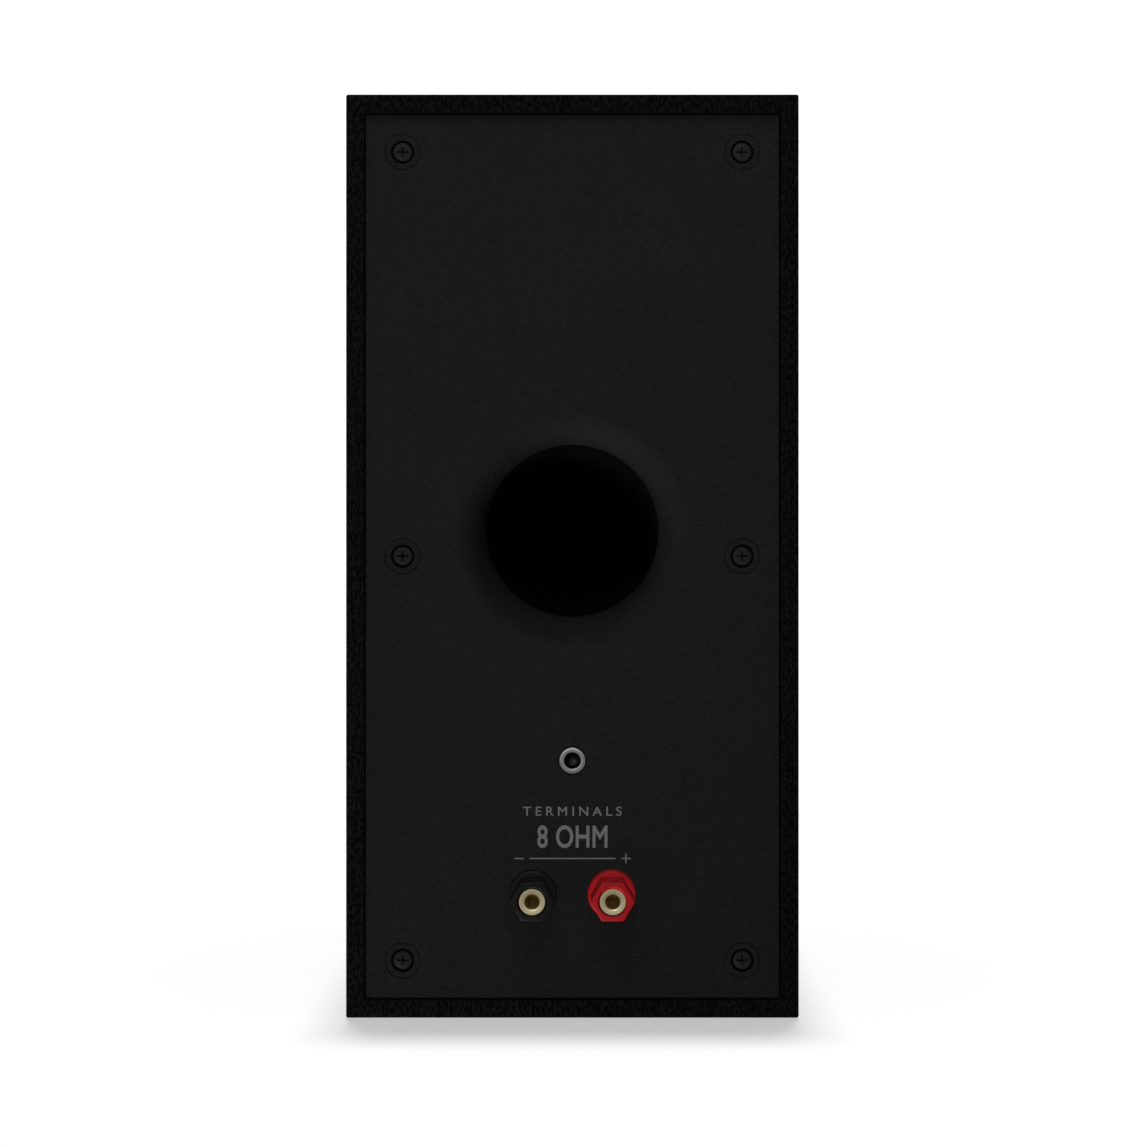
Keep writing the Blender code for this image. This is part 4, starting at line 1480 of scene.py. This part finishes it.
@dataclass
class Driver(Assembly):
    """What the two drivers share: a place on the baffle, turned pieces and screws."""

    moving: str = "woofer_moving"
    prefix: str = "woofer"
    at: Triple = field(init=False)

    def locate(self, node: str) -> None:
        """Finds the driver's axis on the baffle's face from one of its nodes."""
        middle = middle_of(node)
        self.at = (middle.x, low_of("front_baffle").y, middle.z)

    def turn(
        self,
        part: str,
        profile: Sequence[Point],
        finish: Finish,
        slot: str,
        soft: float = 0.0002,
        ring: bool = True,
        body: str | None = None,
    ) -> bpy.types.Object:
        """Adds a turned piece that stands for its node.

        Args:
            part: The node's name without the driver's.
            profile: Its profile.
            finish: Its finish.
            slot: Its material slot.
            soft: How far its corners are rounded.
            ring: Whether it is open on its axis.
            body: The body that it rides on.

        Returns:
            The piece.
        """
        node = f"{self.prefix}_{part}"
        mesh = lathe(node, soften(profile, soft, closed=ring), ring=ring)
        return self.add(f"fine_{node}", mesh, finish, slot, self.at, Facing.FRONT, [node], body)

    def hold(
        self, part: str, profile: Sequence[Point], finish: Finish, slot: str, inner: float, outer: float
    ) -> None:
        """Adds a ring between the driver's moving pieces and the cabinet, which stays in place.

        Args:
            part: The node's name without the driver's.
            profile: Its profile.
            finish: Its finish.
            slot: Its material slot. Not used.
            inner: The radius up to which the ring would move. Not used.
            outer: The radius from which the ring would stay put. Not used.
        """
        node = f"{self.prefix}_{part}"
        mesh = lathe(node, profile, ring=True)
        piece = self.place(f"fine_{node}", mesh, finish, self.at, Facing.FRONT)
        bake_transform(piece)
        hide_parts(node)

    def screws(self, head: float, top: float, bottom: float, shank: float) -> None:
        """The four socket-head screws.

        Args:
            head: The head's radius.
            top: The head's top, from the baffle's face.
            bottom: The head's underside.
            shank: The shank's radius.
        """
        tip, key, depth = -0.0130, 0.0014, 0.0010
        profile = [(0, top), (head, top), (head, bottom), (shank, bottom), (shank, tip), (0, tip)]
        body = lathe("driver_screw", soften(profile, 0.0005), 48)
        socket = prism("socket", polygon(6, key), top - depth, top + depth)
        mesh = carved(body, [socket])
        for i in range(1, 5):
            node = f"{self.prefix}_screw_{i}"
            at = (middle_of(node).x, self.at[1], middle_of(node).z)
            self.add(f"socket_{node}", mesh, BLACK_STEEL, "black_steel", at, Facing.FRONT, [node])


@dataclass
class Woofer(Driver):
    """The woofer: a windowed basket and its motor, a pulp cone, and the rubber and cloth that hold it."""

    def build(self) -> None:
        """Makes every piece of the woofer."""
        self.locate("woofer_basket")
        self.build_basket()
        self.build_motor()
        self.build_cone()
        self.build_suspension()
        self.build_terminals()
        self.screws(head=0.0035, top=0.0028, bottom=0.0007, shank=0.0019)

    def build_basket(self) -> None:
        """The pressed basket with six windows."""
        proud = 0.0004
        profile = [(0.0445, proud), (0.060, proud), (0.060, -0.0039), (0.0468, -0.0039)]
        profile += [(0.0440, -0.0170), (0.0410, -0.0262), (0.0345, -0.0300), (0.0345, -0.0385)]
        profile += [(0.0160, -0.0385), (0.0160, -0.0365), (0.0325, -0.0365), (0.0325, -0.0240)]
        profile += [(0.0385, -0.0240), (0.0420, -0.0150), (0.0445, -0.0030)]
        basket = lathe("basket", soften(profile, 0.0008, closed=True), ring=True)
        away = []
        out = Matrix.Translation((0.043, 0, 0))
        for i in range(6):
            window = block("window", (-0.010, -0.015, -0.0195), (0.010, 0.015, -0.0075), 0.0015)
            window.transform(Matrix.Rotation(math.radians(60 * i + 30), 4, "Z") @ out)
            away.append(window)
        for i in range(1, 5):
            screw = middle_of(f"woofer_screw_{i}")
            centre = (screw.x, self.at[2] - screw.z)
            away.append(prism("hole", polygon(24, 0.0022, centre), -ABOVE, ABOVE))
        mesh = carved(basket, away)
        node = "woofer_basket"
        self.add("pressed_basket", mesh, FRAME_PAINT, "black_steel", self.at, Facing.FRONT, [node])

    def build_motor(self) -> None:
        """The plates, the magnet and the yoke with its pole."""
        plate = [(0.0142, -0.0388), (0.0335, -0.0388), (0.0335, -0.0438), (0.0142, -0.0438)]
        self.turn("top_plate", plate, ZINC, "zinc_steel", 0.0004)
        magnet = [(0.0170, -0.0441), (0.0370, -0.0441), (0.0370, -0.0581), (0.0170, -0.0581)]
        self.turn("magnet", magnet, FERRITE, "ferrite", 0.0008)
        yoke = [(0, -0.0390), (0.0120, -0.0390), (0.0120, -0.0584), (0.0335, -0.0584)]
        yoke += [(0.0335, -0.0634), (0, -0.0634)]
        self.turn("yoke", yoke, ZINC, "zinc_steel", 0.0006, ring=False)

    def build_cone(self) -> None:
        """The flared cone, the dust cap and the wound voice coil."""
        line = spline([(0.0134, -0.0152), (0.0180, -0.0117), (0.0245, -0.0078), (0.0375, -0.0019)])
        cone = skin([tuple(p) for p in line], 0.0008)
        self.turn("cone", cone, CONE_PULP, "cone", 0.00005, body=self.moving)
        cap = spline([(0, -0.0070), (0.0075, -0.0082), (0.0130, -0.0105), (0.0162, -0.0122)])
        wall = skin([tuple(p) for p in cap], 0.0005)
        self.turn("dust_cap", wall, CONE_PULP, "cone", 0.00005, ring=False, body=self.moving)
        inner, former, wound, foot = 0.0125, 0.0130, -0.0365, -0.0455
        wire, turns, valley, crest = 0.00045, 20, 0.01345, 0.0136
        coil = [(inner, -0.0120), (former, -0.0120), (former, wound)]
        for i in range(turns):
            for part, radius in ((0.15, valley), (0.5, crest), (0.85, valley)):
                coil.append((radius, wound - wire * (i + part)))
        coil.append((inner, foot))
        self.turn("voice_coil", coil, COPPER, "copper", 0.00002, body=self.moving)

    def build_suspension(self) -> None:
        """The half-roll surround and the corrugated spider, which stay where they are."""
        roll = arc((0.0413, 0.0003), (0.0037, 0.0042), 180, 0, 17)
        line = [(0.0348, -0.0006), (0.0374, -0.0006), *roll[1:-1], (0.0453, 0.0011), (0.0502, 0.0011)]
        self.hold("surround", skin(line, 0.0007), RUBBER, "rubber", 0.0376, 0.0450)
        first, pitch, wave, level, parts = 0.0139, 0.0038, 0.0009, -0.0222, 6
        wavy = [(first - 0.0005, level)]
        for i in range(parts, 5 * parts + 1):
            height = level + wave * math.cos(math.pi * i / parts)
            wavy.append((first + pitch * i / parts, height))
        wavy.append((0.0378, level))
        self.hold("spider", skin(wavy, 0.0005), SPIDER_CLOTH, "spider_cloth", 0.0140, 0.0370)

    def build_terminals(self) -> None:
        """The board on the basket with the two tags that the cable is soldered to."""
        side, thick, half, bottom, top = -0.0455, 0.0015, 0.006, -0.0268, -0.0205
        reach, width, low, high = 0.004, 0.0028, -0.0250, -0.0244
        board = block("tag_board", (side, -half, bottom), (side + thick, half, top), 0.0003)
        tags = [
            block("tag", (side - reach, y, low), (side, y + width, high), 0.0002)
            for y in (-0.0045, 0.0017)
        ]
        self.add("woofer_tag_board", board, RAW_BOARD, "raw_board", self.at, Facing.FRONT)
        self.add("woofer_tags", merged("tags", tags), SOLDER, "zinc_steel", self.at, Facing.FRONT)


@dataclass
class Tweeter(Driver):
    """The tweeter: a faceplate with a shallow horn, a silk dome and its motor."""

    moving: str = "tweeter_moving"
    prefix: str = "tweeter"

    def build(self) -> None:
        """Makes every piece of the tweeter."""
        self.locate("tweeter_faceplate")
        self.build_faceplate()
        self.build_dome()
        self.build_motor()
        self.screws(head=0.0030, top=0.0006, bottom=-0.0006, shank=0.0015)

    def build_faceplate(self) -> None:
        """The faceplate, with sunk screw holes and a fine step round its horn."""
        throat, depth, mouth, proud = 0.0162, -0.0100, 0.0400, 0.0004
        horn = arc((mouth, depth), (throat - mouth, proud - depth), 0, 90, 28)
        profile = [*horn, (0.052, proud), (0.052, -0.0027), (0.0350, -0.0027), (0.0350, -0.0175)]
        profile += [(0.0305, -0.0175), (0.0305, -0.0125), (throat, -0.0125)]
        plate = lathe("faceplate", soften(profile, 0.0005, closed=True), 128, ring=True)
        away = []
        for i in range(1, 5):
            screw = middle_of(f"tweeter_screw_{i}")
            centre = (screw.x, self.at[2] - screw.z)
            away.append(prism("hole", polygon(24, 0.0019, centre), -ABOVE, ABOVE))
            away.append(prism("sink", polygon(40, 0.0034, centre), -0.0009, ABOVE))
        mesh, node = carved(plate, away), "tweeter_faceplate"
        piece = self.add(
            "horn_faceplate", mesh, FACEPLATE_SKIN, "moulded_black", self.at, Facing.FRONT, [node]
        )
        keep_flat(piece)

    def build_dome(self) -> None:
        """The silk dome, the roll round it and the voice coil."""
        dome = spline([(0, -0.0082), (0.0058, -0.0092), (0.0100, -0.0114), (0.0124, -0.0135)])
        wall = skin([tuple(p) for p in dome], 0.0004)
        self.turn("dome", wall, DOME_SILK, "silk", 0.00003, ring=False, body=self.moving)
        through = [(0.0130, -0.0135), (0.0137, -0.0128), (0.0145, -0.0125)]
        through += [(0.0153, -0.0128), (0.0160, -0.0136)]
        line = [*(tuple(p) for p in spline(through, 4)), (0.0205, -0.0136)]
        self.hold("surround", skin(line, 0.0003), DOME_SILK, "silk", 0.0131, 0.0160)
        coil = [(0.0119, -0.0142), (0.0125, -0.0142), (0.0125, -0.0195), (0.0119, -0.0195)]
        self.turn("voice_coil", coil, COPPER, "copper", 0.00005, body=self.moving)

    def build_motor(self) -> None:
        """The plate, the magnet and the yoke with its pole."""
        plate = [(0.0131, -0.0142), (0.0300, -0.0142), (0.0300, -0.0182), (0.0131, -0.0182)]
        self.turn("top_plate", plate, ZINC, "zinc_steel", 0.0004)
        magnet = [(0.0170, -0.0185), (0.0330, -0.0185), (0.0330, -0.0285), (0.0170, -0.0285)]
        self.turn("magnet", magnet, FERRITE, "ferrite", 0.0006)
        yoke = [(0, -0.0147), (0.0114, -0.0147), (0.0114, -0.0288), (0.0300, -0.0288)]
        yoke += [(0.0300, -0.0338), (0, -0.0338)]
        self.turn("yoke", yoke, ZINC, "zinc_steel", 0.0005, ring=False)


@dataclass
class Grille(Assembly):
    """The pull-off grille: a ribbed frame, its magnets, and the knitted cloth stretched over it."""

    body: str = "grille"
    bar: float = 0.011
    rail: float = 0.161
    magnet: float = 0.0035
    cloth: float = 0.0006
    cloth_corner: float = 0.0030
    cloth_fold: float = 0.0016

    def build(self) -> None:
        """Makes the frame, its magnets and the cloth."""
        low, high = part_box("grille_frame")
        mesh = block("grille_frame", low, high, 0.0012)
        half_rail = self.bar / 2
        lower = (low.z + self.bar, self.rail - half_rail)
        upper = (self.rail + half_rail, high.z - self.bar)
        left, right = low.x + self.bar, high.x - self.bar
        for bottom, top in (lower, upper):
            start, end = (left, low.y - ABOVE, bottom), (right, high.y + ABOVE, top)
            mesh = carved(mesh, [block("window", start, end, 0.003)])
        name = "moulded_grille_frame"
        self.add(name, mesh, GRILLE_FRAME_SKIN, "grille_plastic", stands_for=["grille_frame"])
        self.build_magnets(high.y)
        self.build_cloth()

    def build_magnets(self, rear: float) -> None:
        """The four magnets in the frame's rear face.

        Args:
            rear: The depth of the frame's rear face.
        """
        half = 0.0002
        rim, foot = (self.magnet, half), (self.magnet, -half)
        profile = soften([(0, half), rim, foot, (0, -half)], 0.0001)
        for i, (x, z) in enumerate(magnet_places(), 1):
            disc = lathe("grille_magnet", profile, 32)
            self.add(f"grille_magnet_{i}", disc, NICKEL, "nickel", (x, rear, z), Facing.REAR)

    def build_cloth(self) -> None:
        """The cloth: one sheet over the front, round rounded corners and along the sides."""
        low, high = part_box("grille_cloth")
        half = ((high.x - low.x) / 2, (high.z - low.z) / 2)
        middle = (low.z + high.z) / 2
        depth = high.y - low.y
        corner, fold, around = self.cloth_corner, self.cloth_fold, 6
        outline: list[Point] = []
        for sx, sz, start in ((1, 1, 0), (-1, 1, 90), (-1, -1, 180), (1, -1, 270)):
            centre = (sx * (half[0] - corner), sz * (half[1] - corner))
            outline += arc(centre, (corner, corner), start, start + 90, around + 1)

        def row(inset: float, y: float) -> list[tuple[float, float, float]]:
            """The cloth's outline, drawn in by an inset, at one depth."""
            scale = [(h - inset) / h for h in half]
            return [(x * scale[0], y, z * scale[1] + middle) for x, z in outline]

        fold_over = arc((fold, low.y + fold), (-fold, -fold), 0, 90, around + 1)
        outer = [(0.0, high.y), (0.0, low.y + depth * 0.6), *fold_over]
        thick = self.cloth * 0.9
        inner = [(inset + thick, min(y + thick, high.y)) for inset, y in outer]
        shape = bmesh.new()
        rows = [[shape.verts.new(p) for p in row(*spec)] for spec in [*outer[::-1], *inner]]
        count = len(outline)
        for a, b in zip(rows, rows[1:]):
            for i in range(count):
                j = (i + 1) % count
                shape.faces.new((a[i], a[j], b[j], b[i]))
        shape.faces.new(rows[0])
        shape.faces.new(rows[-1])
        mesh, node = to_mesh("grille_cloth", shape), "grille_cloth"
        piece = self.add(f"stretched_{node}", mesh, GRILLE_KNIT, "grille_cloth", stands_for=[node])
        keep_flat(piece)


@dataclass
class Insides(Assembly):
    """The crossover, the leads and the wadding, which are only met through the port."""

    def build(self) -> None:
        """Makes all that is inside the cabinet."""
        self.build_crossover()
        self.build_leads()
        self.build_wadding()

    def build_crossover(self) -> None:
        """The circuit board on its standoffs, with its coil, capacitor and resistors."""
        low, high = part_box("crossover_board")
        board = block("crossover_board", low, high, 0.0003)
        self.add("etched_board", board, BOARD_GREEN, "circuit_board", stands_for=["crossover_board"])
        inset, thick = 0.005, 0.003
        floor, roof = high_of("bottom_panel").z, low.z - 0.0001
        post = soften([(0, roof), (thick, roof), (thick, floor), (0, floor)], 0.0003)
        corners = [(x, y) for x in (low.x + inset, high.x - inset) for y in (low.y + inset, high.y - inset)]
        for i, (x, y) in enumerate(corners, 1):
            self.add(f"standoff_{i}", lathe("standoff", post, 24), BLACK_SLEEVE, "wire_black", (x, y, 0))
        self.build_inductor()
        self.build_capacitor()
        start, end, tall, off = Vector((0.004, 0, 0)), Vector((0.030, 0.008, 0)), 0.0085, 0.0005
        for i, y in enumerate((-0.016, -0.005), 1):
            bottom, top = start + Vector((0, y, high.z + off)), end + Vector((0, y, high.z + tall))
            body = block("resistor", bottom, top, 0.0006)
            self.add(f"resistor_{i}", body, CERAMIC, "circuit_board")

    def build_inductor(self) -> None:
        """The air-cored coil, whose turns show as fine ridges."""
        low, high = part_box("crossover_inductor")
        radius, height = (high.x - low.x) / 2, high.z - low.z
        turns, bore, ridge, flange = 16, 0.006, 0.0004, 0.0015
        step = height / turns
        winding: list[Point] = [(bore, height), (radius - flange, height)]
        for i in range(turns):
            top = height - step * i
            winding += [(radius - ridge, top - step * 0.2), (radius, top - step * 0.5)]
            winding.append((radius - ridge, top - step * 0.8))
        winding += [(radius - flange, 0), (bore, 0)]
        mesh, node = lathe("inductor", winding, 64, ring=True), "crossover_inductor"
        at = ((low.x + high.x) / 2, (low.y + high.y) / 2, low.z)
        self.add("wound_inductor", mesh, COPPER, "copper", at, stands_for=[node])

    def build_capacitor(self) -> None:
        """The film capacitor, a lying can with rounded ends."""
        node = "crossover_capacitor"
        low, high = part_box(node)
        length, radius = (high.x - low.x) / 2, (high.z - low.z) / 2
        profile = soften([(0, length), (radius, length), (radius, -length), (0, -length)], 0.0022)
        mesh = lathe("capacitor", profile, 64)
        at = middle_of(node)
        self.add("film_capacitor", mesh, CAPACITOR_FILM, "capacitor", at, Facing.ACROSS, [node])

    def build_leads(self) -> None:
        """The insulated leads, from the posts to the board and from the board to the drivers."""
        input_radius, cable_radius = 0.0012, 0.0016
        tail = low_of("red_post_stud").y - CLEARANCE
        post_z = middle_of("red_post_stud").z
        board_z = low_of("crossover_board").z + 0.0035
        for polarity in Polarity:
            colour = polarity.value
            x = middle_of(f"{colour}_post_stud").x
            points = (
                (x, tail, post_z),
                (x, tail - 0.006, post_z),
                (x * 1.15, tail - 0.014, post_z - 0.005),
                (x * 1.2, tail - 0.021, post_z - 0.015),
                (x * 1.2, tail - 0.029, board_z + 0.0005),
                (x * 1.2, tail - 0.036, board_z),
            )
            sleeve = RED_SLEEVE if polarity is Polarity.RED else BLACK_SLEEVE
            self.lead(f"input_lead_{colour}", points, input_radius, sleeve, f"wire_{colour}")
        woofer = (
            (-0.044, -0.015, board_z + 0.001),
            (-0.048, -0.021, 0.030),
            (-0.051, -0.029, 0.044),
            (-0.050, -0.040, 0.058),
            (-0.0455, -0.050, 0.067),
        )
        self.lead("woofer_cable", woofer, cable_radius, BLACK_SLEEVE, "wire_black")
        tweeter = (
            (0.046, -0.012, board_z + 0.001),
            (0.054, -0.020, 0.030),
            (0.0575, -0.028, 0.050),
            (0.0580, -0.034, 0.100),
            (0.0580, -0.036, 0.160),
            (0.0560, -0.040, 0.200),
            (0.0450, -0.048, 0.218),
            (0.0345, -0.0535, 0.222),
        )
        self.lead("tweeter_cable", tweeter, cable_radius, BLACK_SLEEVE, "wire_black")

    def lead(
        self, node: str, points: Sequence[Sequence[float]], radius: float, finish: Finish, slot: str
    ) -> None:
        """A round lead along a smooth curve, held at both ends.

        Args:
            node: The node that it stands for.
            points: The points that it passes.
            radius: Its radius.
            finish: Its sleeve's finish.
            slot: Its material slot.
        """
        curve = bpy.data.curves.new(node, "CURVE")
        curve.dimensions = "3D"
        curve.bevel_depth = radius
        curve.bevel_resolution = 4
        curve.use_fill_caps = True
        route = spline(points, 8)
        line = curve.splines.new("POLY")
        line.points.add(len(route) - 1)
        for point, place in zip(line.points, route):
            point.co = (*place, 1)
        self.add(f"sleeved_{node}", solid_of(curve), finish, slot, stands_for=[node])

    def build_wadding(self) -> None:
        """A soft batt of fibre, lumpy and sunken where it lies on itself."""
        low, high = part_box("damping_wadding")
        middle, size = (low + high) / 2, (high - low) / 2
        lumpiness, drawn_in = 0.03, 0.96
        shape = bmesh.new()
        bmesh.ops.create_cube(shape, size=2)
        bmesh.ops.subdivide_edges(shape, edges=shape.edges[:], cuts=14, use_grid_fill=True)
        for vertex in shape.verts:
            place = vertex.co
            bulge = max(abs(c) for c in place) / place.length
            soft = place * (0.55 + 0.45 * bulge) * drawn_in
            lump = sum(math.sin(7 * soft[i] + 3 * soft[i - 1] + i) for i in range(3)) / 3
            local = Vector(soft[i] * size[i] for i in range(3))
            vertex.co = local * (1 + lumpiness * lump) + middle
        mesh = to_mesh("wadding", shape)
        piece = self.add("fibre_batt", mesh, FIBRE, "wadding", stands_for=["damping_wadding"])


@dataclass(frozen=True)
class SoftBox:
    """A round soft lamp beside the speaker."""

    name: str
    power: float
    at: Triple
    width: float


@dataclass
class Stage:
    """The floor, the lights and the camera."""

    distance: float = 0.73
    lens: float = 68.7
    eye: Point = (-0.00037, 0.1482)
    rear_pieces: tuple[str, ...] = ("panel", "cover", "port", "post", "print")
    backdrop: float = 1.05
    ambient: float = 0.135
    overhead_strength: float = 1.52
    overhead_lean: float = 6.56  # degrees from straight above
    overhead_width: float = 6.05  # degrees across
    fill_strength: float = 1.56
    low_power: float = 106.0
    low_at: Triple = (0.50, 0.66, -0.76)
    low_aim: Triple = (0.0, 0.085, 0.34)
    low_cone: float = 22.4  # degrees across
    boxes: tuple[SoftBox, ...] = (
        SoftBox("high_side", 4.0, (0.1, 0.72, 1.25), 0.9),
        SoftBox("camera_side", 2.5, (0.15, 1.60, 0.40), 0.35),
        SoftBox("front_left", 7.0, (-1.0, -1.1, 0.9), 0.9),
        SoftBox("front_right", 4.0, (1.2, -0.8, 0.5), 0.9),
    )
    floor: bpy.types.Object = field(init=False)

    def build(self) -> None:
        """Sets the stage round the speaker."""
        bpy.context.scene.view_settings.view_transform = "Standard"
        self.build_floor()
        self.build_world()
        self.build_lights()
        self.build_camera()

    def build_floor(self) -> None:
        """A wide pale floor, which throws no light back on the speaker."""
        reach, level = 40.0, -0.0002
        corners = [(-reach, -reach), (reach, -reach), (reach, reach), (-reach, reach)]
        mesh = bpy.data.meshes.new("floor")
        mesh.from_pydata([(x, y, level) for x, y in corners], [], [(0, 1, 2, 3)])
        self.floor = bpy.data.objects.new("floor", mesh)
        bpy.context.scene.collection.objects.link(self.floor)
        mesh.materials.append(Finish("floor_paper", (0.92, 0.92, 0.92), 0.9, specular=0.0).build())
        self.floor.visible_glossy = False
        self.floor.visible_diffuse = False
        self.floor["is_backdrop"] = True

    def build_world(self) -> None:
        """A white backdrop for the camera, and a dim even light for the speaker."""
        world = bpy.data.worlds.new("studio")
        bpy.context.scene.world = world
        world.use_nodes = True
        tree = world.node_tree
        tree.nodes.clear()
        path = tree.nodes.new("ShaderNodeLightPath")
        mix = tree.nodes.new("ShaderNodeMixShader")
        out = tree.nodes.new("ShaderNodeOutputWorld")
        tree.links.new(path.outputs["Is Camera Ray"], mix.inputs[0])
        for place, strength in enumerate((self.ambient, self.backdrop), 1):
            sky = tree.nodes.new("ShaderNodeBackground")
            sky.inputs["Color"].default_value = (1, 1, 1, 1)
            sky.inputs["Strength"].default_value = strength
            tree.links.new(sky.outputs[0], mix.inputs[place])
        tree.links.new(mix.outputs[0], out.inputs[0])

    def lamp(
        self, name: str, kind: str, energy: float, at: Sequence[float], aim: Sequence[float]
    ) -> bpy.types.Object:
        """Adds a lamp that points at a place.

        Args:
            name: Its name.
            kind: AREA, SUN or SPOT.
            energy: Its power, or a sun's strength.
            at: Where it is.
            aim: Where it points.

        Returns:
            The lamp's object.
        """
        light = bpy.data.lights.new(name, kind)
        light.energy = energy
        lamp = bpy.data.objects.new(name, light)
        lamp.location = at
        lamp.rotation_mode = "QUATERNION"
        lamp.rotation_quaternion = (Vector(aim) - Vector(at)).to_track_quat("-Z", "Y")
        bpy.context.scene.collection.objects.link(lamp)
        return lamp

    @staticmethod
    def group(name: str, chosen: Callable[[str], bool]) -> bpy.types.Collection:
        """Collects the pieces whose names are chosen, for lamps to light or be blocked by.

        Args:
            name: The collection's name.
            chosen: Whether a piece with a name belongs.

        Returns:
            The collection.
        """
        made = bpy.data.collections.new(name)
        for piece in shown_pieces():
            if chosen(piece.name):
                made.objects.link(piece)
        return made

    @staticmethod
    def link(lamp: bpy.types.Object, lit: bpy.types.Collection, shades: bpy.types.Collection) -> None:
        """Lets a lamp light one collection, and another one throw its shadows."""
        lamp.light_linking.receiver_collection = lit
        lamp.light_linking.blocker_collection = shades

    def build_lights(self) -> None:
        """Two suns that only the floor takes, and four soft boxes and a spot for the speaker."""

        def is_plated(name: str) -> bool:
            """Whether a piece is a stud or the insert, which the lamp at the camera lights up."""
            return "stud" in name or "insert" in name

        def is_matt(name: str) -> bool:
            """Whether a piece is one of the matt ones at the rear."""
            return not is_plated(name) and any(word in name for word in self.rear_pieces)

        speaker = self.group("speaker", lambda name: True)
        boards = self.group("boards", lambda name: "panel" in name)
        plated = self.group("plated", is_plated)
        matt = self.group("matt", is_matt)
        inner = self.group("inner", lambda name: "post" not in name and "panel" not in name)
        floor = bpy.data.collections.new("floor_only")
        floor.objects.link(self.floor)
        lean = math.tan(math.radians(self.overhead_lean))
        overhead = self.lamp("overhead", "SUN", self.overhead_strength, (0, -lean, 1), (0, 0, 0))
        overhead.data.angle = math.radians(self.overhead_width)
        self.link(overhead, floor, boards)
        fill = self.lamp("floor_fill", "SUN", self.fill_strength, (0, 0, 1), (0, 0, 0))
        self.link(fill, floor, floor)
        near_face, middle = 0.05, 0.17
        for box in self.boxes:
            aim = (0, math.copysign(near_face, box.at[1]), middle)
            lamp = self.lamp(box.name, "AREA", box.power, box.at, aim)
            lamp.data.shape = "DISK"
            lamp.data.size = box.width
            lamp.visible_camera = False
            self.link(lamp, plated if box.name == "camera_side" else speaker, speaker)
        low_side = self.lamp("low_side", "SPOT", self.low_power, self.low_at, self.low_aim)
        low_side.data.shadow_soft_size = 0.3
        low_side.data.spot_size = math.radians(self.low_cone)
        low_side.data.spot_blend = 1.0
        self.link(low_side, matt, inner)

    def build_camera(self) -> None:
        """The camera behind the speaker, level with its middle."""
        camera = bpy.data.objects.new("camera", bpy.data.cameras.new("camera"))
        bpy.context.scene.collection.objects.link(camera)
        rear_edge = high_of("top_panel").y
        camera.location = (self.eye[0], rear_edge + self.distance, self.eye[1])
        camera.rotation_euler = (math.pi / 2, 0, math.pi)
        camera.data.lens = self.lens
        camera.data.sensor_width = 36
        bpy.context.scene.camera = camera


def main() -> None:
    """Builds the speaker and then the stage."""
    logging.basicConfig(level=logging.INFO, format="%(name)s: %(message)s")
    assemblies: list[Assembly] = [
        Cabinet(),
        RearCover(),
        BindingPost(polarity=Polarity.RED),
        BindingPost(polarity=Polarity.BLACK),
        Woofer(),
        Tweeter(),
        Grille(),
        Insides(),
    ]
    for assembly in assemblies:
        assembly.build()
        assembly.report()
    Stage().build()


if __name__ == "__main__":
    main()
